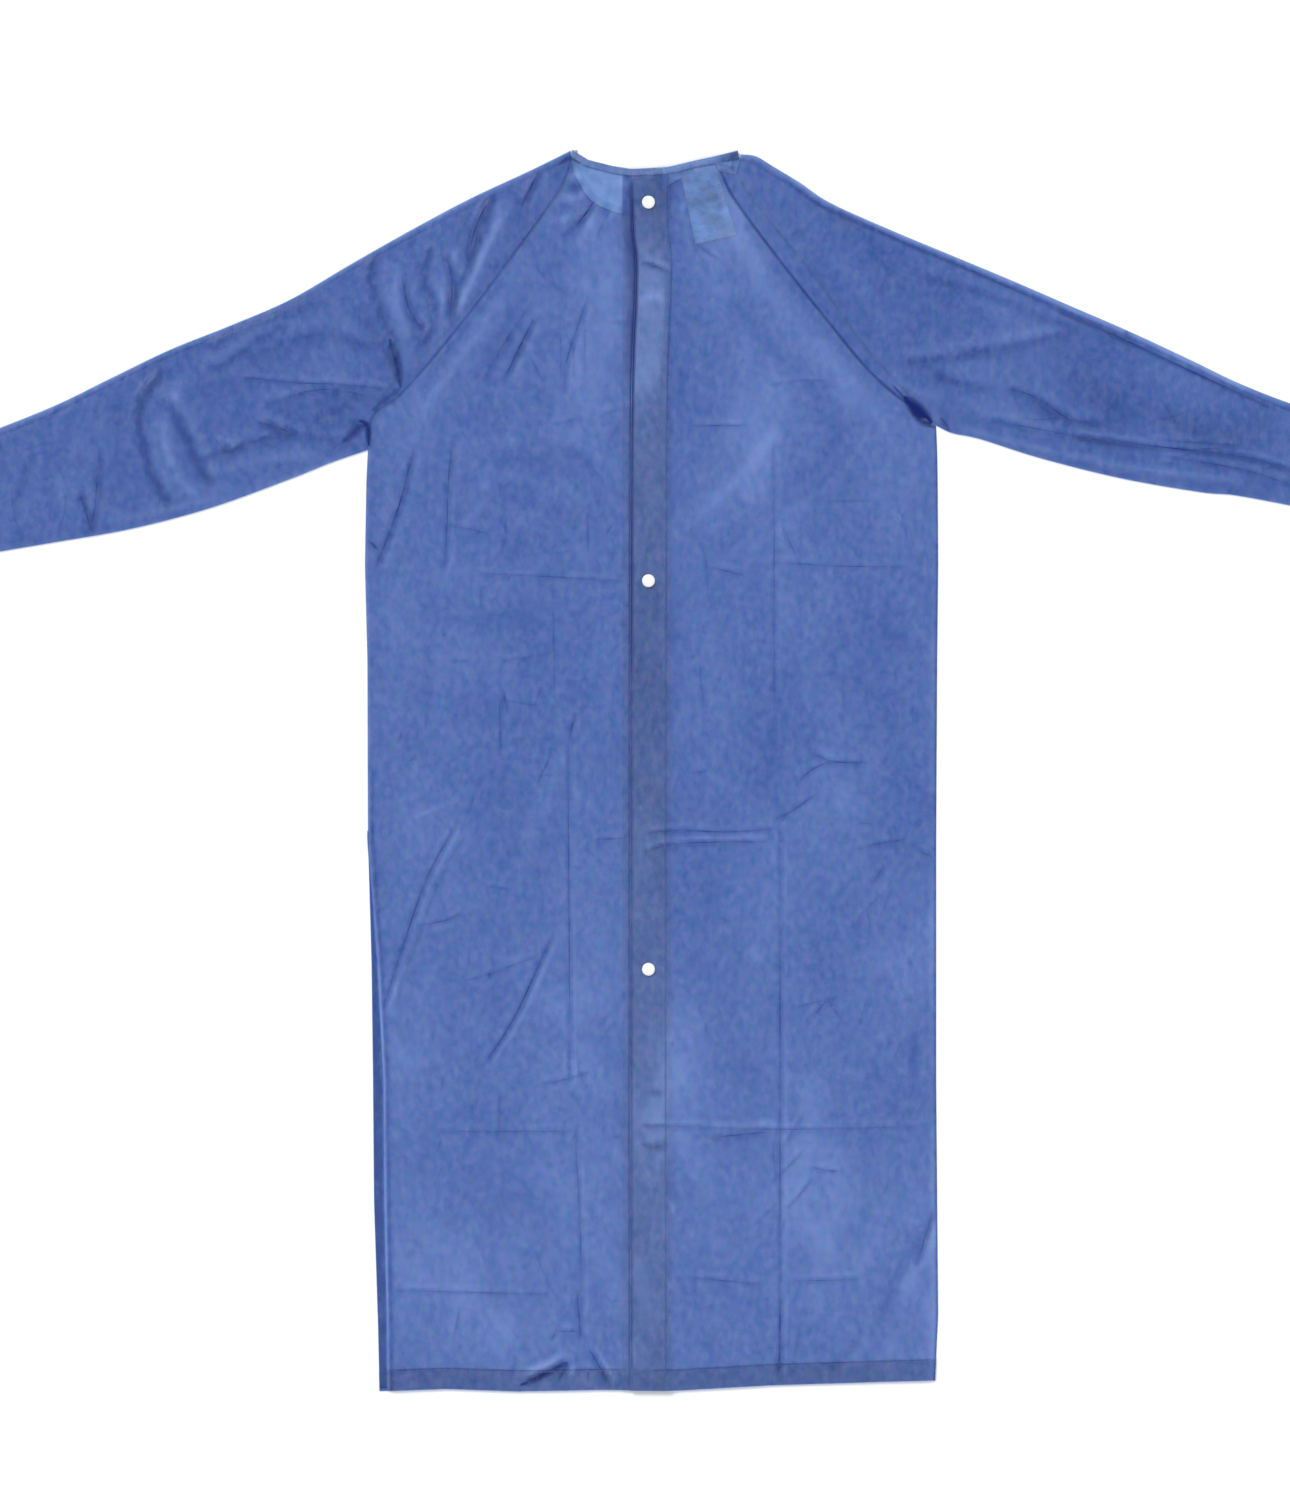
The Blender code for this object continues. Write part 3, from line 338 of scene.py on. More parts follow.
creasesSleeveLeft = creaseTable(
    (6, 3.2, -0.95, -490, 400, -510, 375, -514, 346, -503, 300, -482, 263),
    (6, 3.2, -0.9, -490, 378, -466, 332, -455, 305, -439, 284),
    (5, 1.8, -0.5, -440, 335, -423, 318, -405, 332), (4.6, 2.2, -0.9, -399, 351, -378, 344, -354, 335),
    (5, 2.6, -0.8, -575, 284, -559, 236), (7, 2, -0.4, -582, 320, -566, 302),
    (3, 1.2, -0.55, -415, 394, -356, 388, -310, 386, -262, 381),
    (20, 0.4, -0.35, -400, 345, -345, 352, -300, 352), (5, 2.8, -1.12, -160, 578, -177, 543, -185, 507),
    (4.6, 2.2, -1.05, -113, 603, -122, 583, -133, 562), (5, 2.6, -1, -210, 523, -201, 492, -203, 447),
    (4.6, 2.4, -0.9, -251, 496, -244, 462, -228, 437), (8, 1.6, -0.8, -264, 428, -255, 394),
    (6, 1.2, 0.24, -171, 566, -180, 510), (7, 1.2, 0.21, -215, 500, -216, 440),
    (7, 1.2, 0.24, -500, 350, -476, 300), (8, 1.2, 0.15, -529, 340, -519, 270),
    (5.5, 2.4, -0.8, -159, 577, -168, 545, -183, 509, -205, 461),
    (7, 1, 0.4, -146, 562, -173, 509, -193, 461),
    (6.5, 2.4, -0.75, -277, 522, -283, 493, -269, 449, -253, 413),
    (5.5, 2.2, -0.75, -221, 530, -229, 493, -217, 457, -233, 421),
    (8, 1.2, 0.45, -253, 515, -257, 477, -241, 429), (6, 1, 0.38, -195, 530, -205, 493, -217, 437),
    (7, 1.6, -0.45, -301, 477, -277, 433, -259, 405), (7.5, 1.4, -0.38, -413, 413, -333, 437, -277, 421),
    (5, 1.4, -0.4, -389, 365, -333, 381, -277, 373),
    (6, 1.6, -0.42, -457, 309, -413, 325, -357, 337, -301, 325),
    (8, 1, 0.32, -437, 299, -389, 311, -333, 315), (6, 1, 0.35, -549, 247, -413, 277, -300, 318),
    (22, 0.6, -0.48, -352, 372, -310, 368, -275, 360),
    (9, 1.8, 0.55, -470, 395, -487, 345, -478, 300, -450, 268),
    (7, 1.4, 0.26, -368, 456, -405, 433, -444, 409, -465, 384),
    (5.4, 1.8, -0.55, -362, 447, -390, 434, -427, 408, -441, 399),
    (4.5, 1.8, -0.5, -553, 322, -557, 270, -561, 240), (10, 1.4, 0.4, -592, 305, -582, 250),
    (9, 1.4, -0.25, -545, 380, -530, 330, -525, 280), (9, 1.2, -0.28, -330, 470, -380, 455, -450, 420),
    (9, 0.4, -0.6, -305, 350, -290, 343), (6, 0, -0.5, -84, 617, -94, 604),
    (5, 2, -0.5, -650, 330, -700, 280, -712, 250), (6, 1.8, -0.4, -620, 320, -640, 262),
)
creasesFront = creaseTable(
    (2.6, 0.3, -0.25, -215, -345, 0, -348, 270, -342), (2.6, 0.3, -0.2, -200, 190, 0, 196, 260, 199),
    (2.6, 0.3, -0.2, -150, 500, -152, -560), (2.6, 0.3, -0.2, 40, 480, 42, -590),
    (2.6, 0.3, -0.2, 200, 380, 203, -560),
)
tuckShades = [  # painted shade in gathered cloth at the underarms: way, half width, strength
    ([(240, 385), (254, 370), (268, 358)], 2.6, 0.55),
    ([(251, 374), (265, 360), (279, 348)], 9.5, 0.95),
    ([(258, 368), (267, 359), (277, 350)], 6.0, 0.60),
    ([(256, 364), (267, 351), (281, 343)], 5.5, 0.60),
    ([(287, 353), (292, 347), (297, 340)], 3.6, 0.30),
    ([(-263, 432), (-256, 402), (-252, 384)], 7.0, 0.62),
    ([(-252, 384), (-264, 374), (-281, 360)], 5.0, 0.34),
    ([(-294, 350), (-286, 346), (-283.5, 325)], 4.5, 0.80),
    ([(-310, 328), (-296, 341), (-287, 347)], 7.0, 0.50),
    ([(70, 611.5), (81, 615), (91, 613.5)], 3.6, 0.85),
    ([(-133, -614), (-113, -604), (-86, -591)], 5.5, 0.62),
    ([(-285, 231), (-280, 226), (-275, 222)], 2.8, 0.45),
    ([(86, 613), (95, 611), (107, 605)], 2.6, 0.60),
    ([(-95, 605), (-83, 613), (-72, 607.5)], 3.8, 0.42),
]


def hairlines(low, high, count, seed):  # short fine creases all over a piece
    draw = np.random.default_rng(seed)
    rows = []
    for _ in range(count):
        start = draw.uniform(low, high)
        turn = math.radians(draw.choice([90, 90, 75, 110, 60, 125, 0, 5, 45]) + draw.normal(0.0, 9.0))
        length = draw.uniform(14.0, 70.0)
        end = start + length * np.array([math.cos(turn), math.sin(turn)])
        bow = draw.normal(0.0, 0.05) * length * np.array([-math.sin(turn), math.cos(turn)])
        tone = draw.uniform(-0.28, -0.12)
        rows.append(([tuple(start), tuple((start + end) / 2 + bow), tuple(end)], 2.5, -1.6 * tone, tone))
    return rows


creasesLeft += hairlines((-262, -590), (-45, 560), 46, 61)
creasesRight += hairlines((30, -590), (262, 560), 50, 62)
creasesSleeveLeft += hairlines((-740, 215), (-110, 590), 46, 63)
creasesSleeveRight += hairlines((100, 250), (740, 590), 46, 64)


def creaseField(x, y, creases):  # height and haze of all the creases at each place, with their painted shade and highlights
    height, hazeAndShading = np.zeros(x.shape), np.zeros(x.shape)
    for way, width, rise, tone in creases:
        line = curveThrough(way, 6 * len(way)) if len(way) > 2 else np.asarray(way, float)
        reach = 4.0 * width
        low, high = line.min(axis=0) - reach, line.max(axis=0) + reach
        near = (x > low[0]) & (x < high[0]) & (y > low[1]) & (y < high[1])
        if not near.any():
            continue
        away, side, along = farFrom(x[near], y[near], line)
        tip = min(0.5, max(12.0, 1.6 * width) / max(lengthOf(line), 1.0))
        ends = smoothStep(-0.02, tip, along) * smoothStep(-0.02, tip, 1.0 - along)
        height[near] += rise * ends * bell(away, 0.0, width)
        hazeAndShading[near] += tone * ends * bell(away, 0.0, 0.8 * width)
        if tone < 0:  # the flank of a dark crease catches the light
            hazeAndShading[near] -= 0.40 * tone * ends * bell(side * away, 1.7 * width, width)
    return height, hazeAndShading


# Meshes
def deselectAll():
    bpy.ops.object.select_all(action="DESELECT")


def applyModifier(piece, kind, **settings):
    bpy.context.view_layer.objects.active = piece
    added = piece.modifiers.new(kind.lower(), kind)
    for key, value in settings.items():
        setattr(added, key, value)
    bpy.ops.object.modifier_apply(modifier=added.name)


def clothPiece(name, points, hazeAndShading, material, around=False):  # points in millimetres, rows by columns
    rows, columns = points.shape[:2]
    deselectAll()
    bpy.ops.mesh.primitive_grid_add(x_subdivisions=columns - 1, y_subdivisions=rows - 1, size=1)
    piece = bpy.context.object
    piece.name = name
    mesh = piece.data
    mesh.name = name
    mesh.vertices.foreach_set("co", (points.reshape(-1, 3) * mm).ravel())
    mesh.attributes.new("hazeAndShading", "FLOAT", "POINT").data.foreach_set("value", hazeAndShading.ravel())
    mesh.update()
    if around:
        deselectAll()
        piece.select_set(True)
        bpy.ops.object.mode_set(mode="EDIT")
        bpy.ops.mesh.select_all(action="SELECT")
        bpy.ops.mesh.remove_doubles(threshold=0.00001)
        bpy.ops.object.mode_set(mode="OBJECT")
    applyModifier(piece, "SOLIDIFY", thickness=garment["film"] * mm, offset=0.0)
    mesh.shade_smooth()
    mesh.materials.clear()
    for each in material if isinstance(material, tuple) else (material,):
        mesh.materials.append(each)
    if len(mesh.materials) > 1:
        downward = np.zeros(3 * len(mesh.polygons))
        mesh.polygons.foreach_get("normal", downward)
        mesh.polygons.foreach_set("material_index", (downward[2::3] < 0.0).astype(np.int32))
        mesh.update()
    print(name + ":", len(mesh.polygons), "faces")
    return piece


def finishPiece(piece, name, material):
    piece.name = name
    piece.data.name = name
    piece.data.shade_smooth()
    piece.data.materials.clear()
    piece.data.materials.append(material)
    print(name + ":", len(piece.data.polygons), "faces")
    return piece


def joined(name, pieces, material):
    deselectAll()
    for each in pieces:
        each.select_set(True)
    bpy.context.view_layer.objects.active = pieces[0]
    bpy.ops.object.join()
    bpy.ops.object.transform_apply(location=True, rotation=True, scale=True)
    return finishPiece(bpy.context.object, name, material)


def selectFaces(piece, wanted):
    form = bmesh.from_edit_mesh(piece.data)
    for face in form.faces:
        face.select_set(wanted(face.normal.z))
    bmesh.update_edit_mesh(piece.data)


# Materials
class Wire:
    def __init__(self, tree, socket):
        self.tree = tree
        self.socket = socket

    def combined(self, operation, *values):
        return self.tree.node("ShaderNodeMath", {"operation": operation}, list(values))

    def __add__(self, other):
        return self.combined("ADD", self, other)

    def __sub__(self, other):
        return self.combined("SUBTRACT", self, other)

    def __rsub__(self, other):
        return self.combined("SUBTRACT", other, self)

    def __mul__(self, other):
        return self.combined("MULTIPLY", self, other)

    __radd__ = __add__

    def clamped(self, low, high):
        return self.combined("MAXIMUM", self.combined("MINIMUM", self, high), low)


class Tree:
    def __init__(self, name):
        self.material = bpy.data.materials.new(name)
        self.material.use_nodes = True
        self.nodes = self.material.node_tree.nodes
        self.nodes.clear()

    def node(self, kind, settings, values, output=0):
        made = self.nodes.new(kind)
        for key, value in settings.items():
            setattr(made, key, value)
        pairs = values.items() if isinstance(values, dict) else enumerate(values)
        for key, value in pairs:
            if isinstance(value, Wire):
                self.material.node_tree.links.new(value.socket, made.inputs[key])
            else:
                made.inputs[key].default_value = value
        return Wire(self, made.outputs[output]) if made.outputs else made

    def mixed(self, factor, first, second, blend="MIX"):
        mix = {"data_type": "RGBA", "clamp_factor": True, "blend_type": blend}
        return self.node("ShaderNodeMix", mix, {0: factor, 6: first, 7: second}, output=2)

    def noise(self, place, scale, detail, rough=0.5):
        values = {"Vector": place, "Scale": scale, "Detail": detail, "Roughness": rough}
        return self.node("ShaderNodeTexNoise", {}, values)

    def place(self, scale=(1.0, 1.0, 1.0), turn=(0.0, 0.0, 0.0)):
        objectPlace = self.node("ShaderNodeTexCoord", {}, {}, output="Object")
        return self.node("ShaderNodeMapping", {}, {"Vector": objectPlace, "Scale": scale, "Rotation": turn})

    def hazeAndShading(self):  # the attribute that every cloth mesh carries: haze, with painted shade and highlights
        return self.node("ShaderNodeAttribute", {"attribute_name": "hazeAndShading"}, {}, output="Fac")

    def body(self, colour, roughness, specular=0.5, bump=None):  # bump: height, strength, distance
        values = {"Base Color": colour, "Roughness": roughness, "Specular IOR Level": specular}
        if bump:
            sizes = dict(zip(("Height", "Strength", "Distance"), bump))
            values["Normal"] = self.node("ShaderNodeBump", {}, sizes)
        return self.node("ShaderNodeBsdfPrincipled", {}, values)

    def sheer(self, solidity, tint, body):
        clear = self.node("ShaderNodeBsdfTransparent", {}, {"Color": tint})
        return self.finished(self.node("ShaderNodeMixShader", {}, [solidity, clear, body]))

    def finished(self, surface):
        self.node("ShaderNodeOutputMaterial", {}, {"Surface": surface})
        return self.material


filmFinish = {
    "deep": (0.078, 0.126, 0.292, 1.0),    # colour where the film lies close, and of painted shade
    "pale": (0.458, 0.605, 0.885, 1.0),    # colour where it stands off or is stressed, and of painted highlights
    "tint": (0.650, 0.770, 0.956, 1.0),    # what one face lets through
    "bleachedAndHighlight": (0.450, 0.610, 1.000, 1.0),      # both again where stress has bleached it, and under strong painted highlights
    "bleachedAndHighlightTint": (0.650, 0.770, 1.000, 1.0),
    "solidity": 0.19,                      # share of light that a face scatters
    "hazeAndShadingSolidity": 0.17,                  # more of it where the film is stressed, and under strong painted shade and highlights
    "specular": 0.6,
    "mottleScale": 150.0,
    "variety": 0.85,                       # how much the hue wanders
    "crinkleScale": 55.0,
}


def filmMaterial(name, finish):
    tree = Tree(name)
    hazeAndShading = tree.hazeAndShading()
    streaks = tree.place((1.0, 0.7, 1.0), (0.0, 0.0, 0.25))
    mottle = tree.noise(streaks, finish["mottleScale"], 3.0, 0.65)
    shades = Wire(tree, mottle.socket.node.outputs["Color"])
    tone = (0.5 + (mottle - 0.5) * 0.9 + hazeAndShading * 0.55).clamped(0.0, 1.0)
    # paler where stress bleaches the film and where a strong highlight is painted
    bleachAndHighlight = (hazeAndShading * 2.0 - 0.5).clamped(0.0, 1.0)
    colour = tree.mixed(tone, finish["deep"], finish["pale"])
    colour = tree.mixed(bleachAndHighlight, colour, finish["bleachedAndHighlight"])
    colour = tree.mixed(finish["variety"], colour, shades, "SOFT_LIGHT")
    crinkle = tree.noise(streaks, finish["crinkleScale"], 3.0, 0.6)
    body = tree.body(colour, 0.32 + mottle * 0.20, finish["specular"], (crinkle, 0.55, 0.003))
    tint = tree.mixed(bleachAndHighlight, finish["tint"], finish["bleachedAndHighlightTint"])
    # painted shade and highlights, like stress, make the film denser
    stressAndShading = (hazeAndShading.combined("ABSOLUTE", hazeAndShading) - 0.30).clamped(0.0, 2.0)
    solidity = (finish["solidity"] + stressAndShading * finish["hazeAndShadingSolidity"]).clamped(0.0, 0.7)
    return tree.sheer(solidity, tint, body)


def undersideMaterial(name, finish):  # the same film on the faces that look down
    tree = Tree(name)
    hazeAndShading = tree.hazeAndShading()
    tone = (0.5 + hazeAndShading * 0.55).clamped(0.0, 1.0)
    body = tree.body(tree.mixed(tone, finish["deep"], finish["pale"]), 0.6, 0.0)
    return tree.sheer(finish["solidity"], finish["tint"], body)


# the dark colour of painted shade lines and of dark seam lines
shadeAndSeamFinish = {"colour": (0.010, 0.022, 0.165, 1.0), "solidity": 0.88}


def shadeAndSeamMaterial(name, finish):  # painted shade: the dark sharp line of a crease, a tuck or an edge, and dark seam lines, as strong as its haze says
    tree = Tree(name)
    solidity = (tree.hazeAndShading() * finish["solidity"]).clamped(0.0, 0.9)
    return tree.sheer(solidity, (1.0, 1.0, 1.0, 1.0), tree.body(finish["colour"], 0.8, 0.0))


labelFinish = {
    "colour": (0.66, 0.78, 0.86, 1.0), "shade": (0.10, 0.15, 0.24, 1.0), "threads": 150.0,
    "turn": (0.0, 0.0, -0.20),  # the label lies tilted
}


def labelMaterial():
    tree = Tree("label tape")
    place = tree.place(turn=labelFinish["turn"])
    threads = tree.node(
        "ShaderNodeTexWave", {"wave_type": "BANDS", "bands_direction": "Y"},
        {"Vector": place, "Scale": labelFinish["threads"], "Distortion": 0.6, "Detail": 2.0},
    )
    cloud = tree.noise(tree.place((0.8, 1.2, 1.0), labelFinish["turn"]), 52.0, 3.0, 0.55)
    tone = (cloud * 2.4 + threads * 0.15 - 0.72).clamped(0.0, 1.0)
    colour = tree.mixed(tone, labelFinish["shade"], labelFinish["colour"])
    return tree.finished(tree.body(colour, 0.62 - cloud * 0.15, bump=(threads, 0.5, 0.0002)))


capFinish = {"colour": (0.93, 0.92, 0.94, 1.0), "worn": (0.80, 0.80, 0.84, 1.0)}


def capMaterial():
    tree = Tree("snap plastic")
    place = tree.place()
    speck = tree.noise(place, 900.0, 3.0)
    cloud = tree.noise(place, 160.0, 2.0)
    colour = tree.mixed((cloud * 1.6 - 0.5).clamped(0.0, 1.0), capFinish["worn"], capFinish["colour"])
    return tree.finished(tree.body(colour, 0.22 + speck * 0.12, bump=(speck, 0.15, 0.0001)))


threadFinish = {"colour": (0.060, 0.095, 0.300, 1.0), "light": (0.130, 0.180, 0.430, 1.0)}


def threadMaterial():
    tree = Tree("thread")
    ply = tree.noise(tree.place(), 2500.0, 2.0)
    colour = tree.mixed(ply, threadFinish["colour"], threadFinish["light"])
    return tree.finished(tree.body(colour, 0.55 + ply * 0.2, bump=(ply, 0.4, 0.0001)))


# Plans: where each place of a cloth lies on the surface
def hemY(x):
    line = np.array(outline["hem"], float)
    return np.interp(x, line[:, 0], line[:, 1])


def inHem(x, y, start, end):  # 1 on the turned hem, fading out past its raw edge
    depth = garment["hemDepth"]
    return 1.0 - smoothStep(depth + start, depth + end, y - hemY(x))


def seam(name, count, side):  # the seam's points moved by half of the gap there
    return leftOf(curveThrough(outline[name], count), side * garment["seamGap"] / 2)


seamCount = int(round(lengthOf(outline["backSeamRight"]) / garment["cell"]))


def panelRows(column, depth, last):  # left or right side of the body, from the turned hem up
    places = turnedPlaces(depth, garment["hemRadius"])
    inward, drop = foldOver(places, garment["hemRadius"])
    start = garment["hemLevel"] + inward[-1]
    main = np.linspace(start, last, int(round((last - start) / garment["cell"])) + 1)[1:-1]
    y = np.r_[garment["hemLevel"] + inward, main]
    table = np.array(outline["sides"], float)
    x = np.interp(y, table[:, 0], table[:, column])
    return np.column_stack([x, y]), np.r_[drop, np.zeros(len(main))]


def sideEdge(column, depth, underarm, key, side):  # up a side and on along its raglan seam
    edge, drop = panelRows(column, depth, underarm)
    return np.vstack([edge, seam(key, seamCount, side)[::-1]]), np.r_[drop, np.zeros(seamCount)]


def bodyPlan(left, right, shares, top):  # a panel between its sides, with its hem and neck bent
    plan = left[:, None] * (1.0 - shares)[..., None] + right[:, None] * shares[..., None]
    level = garment["hemLevel"]
    nearHem = 1.0 - smoothStep(level + 30.0, level + 250.0, plan[..., 1])
    plan[..., 1] += nearHem * (hemY(plan[..., 0]) - level)
    rows = len(plan)
    nearNeck = smoothStep(rows - 1 - seamCount * 0.75, rows - 1, np.arange(rows))
    return plan + nearNeck[:, None, None] * (top - plan[-1])[None]


def neckRow(left, right, shares, line):  # a panel's last row, on the neck
    row = left * (1.0 - shares)[:, None] + right * shares[:, None]
    line = np.array(line, float)
    row[:, 1] = np.interp(row[:, 0], line[:, 0], line[:, 1])
    return row


def levelRows(edge, underarm, topY):  # heights of the opening's rows beside a side edge's rows
    return np.where(edge[:, 1] < underarm, edge[:, 1],
                    np.interp(edge[:, 1], [underarm, edge[-1, 1]], [underarm, topY]))


frontNeckCurve = np.vstack([
    outline["neckPointLeft"], curveThrough(outline["frontNeck"], 60), outline["neckPointRight"],
])


def backBed(x, y):  # what the back lies on: the front panel, or the surface inside the neck
    away, side, _ = farFrom(x, y, frontNeckCurve)
    inside = (side > 0) & (y > 550.0) & (np.abs(x) < 90.0)
    opened = np.where(inside, smoothStep(9.0, 22.0, away), 0.0)
    return garment["backBed"] - garment["neckFall"] * opened + garment["hemStep"] * inHem(x, y, 0.0, 4.0)


def hemLift(x, y):  # the film rises over its own turned hem
    return garment["hemLift"] * inHem(x, y, -0.5, 3.5)


def hemShade(x, y):  # the doubled film of the hem is darker
    return garment["hemShade"] * inHem(x, y, -1.0, 2.0)


labelPiece = {
    "corners": [(27.2, 599.0), (62.2, 606.5), (42.5, 526.5), (83.5, 536.0)],  # top pair, bottom pair
    "lift": 0.75,
    "soft": 5.0,
}


def labelLift(x, y):  # what lies over the label rises round it
    corners = np.array(labelPiece["corners"])
    middle = corners.mean(axis=0)
    across = corners[[1, 3]].mean(axis=0) - corners[[0, 2]].mean(axis=0)
    width = np.hypot(*across)
    across /= width
    up = np.array([-across[1], across[0]])
    height = (corners[[0, 1]].mean(axis=0) - corners[[2, 3]].mean(axis=0)) @ up
    beside = np.abs((x - middle[0]) * across[0] + (y - middle[1]) * across[1]) - width / 2
    beyond = np.abs((x - middle[0]) * up[0] + (y - middle[1]) * up[1]) - height / 2
    outside = np.hypot(np.maximum(beside, 0.0), np.maximum(beyond, 0.0))
    return labelPiece["lift"] * (1.0 - smoothStep(1.5, 1.5 + labelPiece["soft"], outside))


def clouds(x, y, seed):  # broad uneven paleness, and a little more of it towards the hem
    broad = 0.13 * waves(x, y * 0.6, 150.0, seed) + 0.06 * waves(x * 1.2, y * 0.8, 52.0, seed + 50)
    streaks = 0.035 * waves(x + 0.35 * y, 0.30 * y - 0.1 * x, 13.0, seed + 90)
    return broad + streaks + 0.27 * smoothStep(150.0, -450.0, y) - 0.03


def rolls(x, y):  # soft unevenness of film that has been folded and shaken out
    return 0.30 * (1.0 + waves(x, y * 0.7, 95.0, 3)) + 0.14 * (1.0 + waves(x, y, 34.0, 5))


# Front panel
def makeFront(material):
    count = int(round(garment["frontWidth"] / garment["frontCell"])) + 1
    turn, underarm = garment["frontHemDepth"], garment["underarmLeft"][1]
    left, drop = sideEdge(1, turn, underarm, "frontSeamLeft", 1)
    right, _ = sideEdge(3, turn, underarm, "frontSeamRight", -1)
    shares = np.tile(np.linspace(0.0, 1.0, count), (len(left), 1))
    neck = curveThrough(outline["frontNeck"], count)
    neck[0], neck[-1] = left[-1], right[-1]
    plan = bodyPlan(left, right, shares, neck)
    x, y = plan[..., 0], plan[..., 1]
    rise, hazeAndShading = creaseField(x, y, creasesFront)
    hazeAndShading[-1] -= 0.8  # the raw edge at the neck, darkened as painted shade
    z = garment["frontLevel"] + drop[:, None] + 0.25 * rise
    return clothPiece("frontFilm", np.dstack([x, y, z]), hazeAndShading + 0.12 * waves(x, y, 60.0, 11), material)


# Low on the left the front film rolls over on itself beside the back
rollShape = {
    "low": -612.0, "high": -60.0, "rows": 150, "columns": [0.0, 0.12, 0.3, 0.5, 0.7, 0.88, 1.0],
    "level": 0.92, "bulge": 0.35, "dark": 1.05,
}


def makeSideRoll(material):
    y = np.linspace(rollShape["low"], rollShape["high"], rollShape["rows"])
    table = np.array(outline["sides"], float)
    left, right = (np.interp(y, table[:, 0], table[:, k]) for k in (1, 2))
    turn = hemY(left) - garment["hemLevel"]
    share = np.array(rollShape["columns"])[None]
    x = (left + 0.4)[:, None] * (1.0 - share) + (right - 0.7)[:, None] * share
    place = y[:, None] + (turn * (1.0 - smoothStep(-585.0, -365.0, y)))[:, None] + 0.0 * x
    bulge = rollShape["bulge"] * np.sin(math.pi * share)
    z = rollShape["level"] + bulge + 0.06 * waves(x, place, 30.0, 71)
    tone = rollShape["dark"] * bell(share, 1.0, 0.12) - rollShape["dark"]
    hazeAndShading = tone + 0.15 * waves(x, place, 40.0, 72)
    return clothPiece("sideRoll", np.dstack([x, place, z]), hazeAndShading, material)


sideSteps = [0.0, 1.0, 2.0, 3.2, 4.6, 6.4]  # finer columns beside a side seam
sideEven = 9.0  # from here on the columns are even
farAway = 99.0  # stands for a place with no side seam beside it


def sideShares(width):  # columns across a back panel, from its side seam inwards
    rest = np.linspace(sideEven, width, int(round((width - sideEven) / garment["cell"])) + 1)
    return np.r_[sideSteps, rest] / width


def sideClose(distance):  # a back film comes down to the front film at the side seam
    return garment["sideFall"] * (1.0 - smoothStep(0.0, 6.0, distance))


# Back, left half
def makeBackLeft(material):
    underarm = garment["underarmLeft"][1]
    left, drop = sideEdge(2, garment["hemDepth"], underarm, "backSeamLeft", 1)
    levels = levelRows(left, underarm, outline["backNeckLeft"][-1][1])
    places = turnedPlaces(garment["underlapFacing"], garment["facingRadius"])[::-1]
    inward, facingDrop = foldOver(places, garment["facingRadius"])
    edgeX = garment["underlapEdge"]
    start = edgeX - inward[0]
    wide = sideShares(garment["leftWidth"])[:-1]
    x0 = left[:, :1]
    xs = np.hstack([x0 + (start - x0) * wide[None], np.tile(edgeX - inward, (len(left), 1))])
    shares = (xs - x0) / (edgeX - x0)
    right = np.column_stack([np.full(len(left), edgeX), levels])
    top = neckRow(left[-1], right[-1], shares[-1], outline["backNeckLeft"])
    top[0] = left[-1]
    plan = bodyPlan(left, right, shares, top)
    x, y = plan[..., 0], plan[..., 1]
    rise, hazeAndShading = creaseField(x, y, creasesLeft)
    fall = np.r_[np.zeros(len(wide)), facingDrop]
    lift = garment["facingLift"] * smoothStep(*garment["underlapClimb"], x)
    under = backBed(x, y) + garment["backClear"] + hemLift(x, y) + lift
    fromSide = np.where(y < underarm, x - x0, farAway)
    soft = smoothStep(0.0, 10.0, fromSide) * (1.0 - smoothStep(-40.0, -26.0, x))
    z = under - sideClose(fromSide) + soft * (rise + rolls(x, y)) - drop[:, None] - fall[None]
    low = smoothStep(40.0, -60.0, y)
    # painted highlight along the side edge, and low down a darker line beside it
    rim = 0.45 * (1.0 - smoothStep(1.0, 4.5 - 1.5 * low, fromSide))
    rim = rim - 0.75 * low * bell(fromSide, 4.6, 1.9)
    hazeAndShading = hazeAndShading + clouds(x, y, 21) + rim - hemShade(x, y)
    hazeAndShading = hazeAndShading + 0.30 * waves(x, y * 0.8, 15.0, 95) * smoothStep(530.0, 560.0, y)
    return clothPiece("backLeftFilm", np.dstack([x, y, z]), hazeAndShading, material)


def underlapLift(x, y):  # the over-lap and its binding rise over the under-lap
    lift = garment["underlapLift"] + garment["hemStep"] * inHem(x, y, 0.0, 4.0)
    return lift * (1.0 - smoothStep(13.0, 27.0, x))


# How pale the over-lap's facing looks from the hem up
placketTones = {
    "y": [-600, -560, -500, -400, -330, -290, -150, -50, 40, 300, 350, 390, 500, 540, 600],
    "tone": [-0.25, -0.15, 0.08, 0.16, 0.12, -0.14, 0.0, -0.06, 0.02, 0.06, 0.25, 0.55, 0.55, 0.15, -0.15],
}


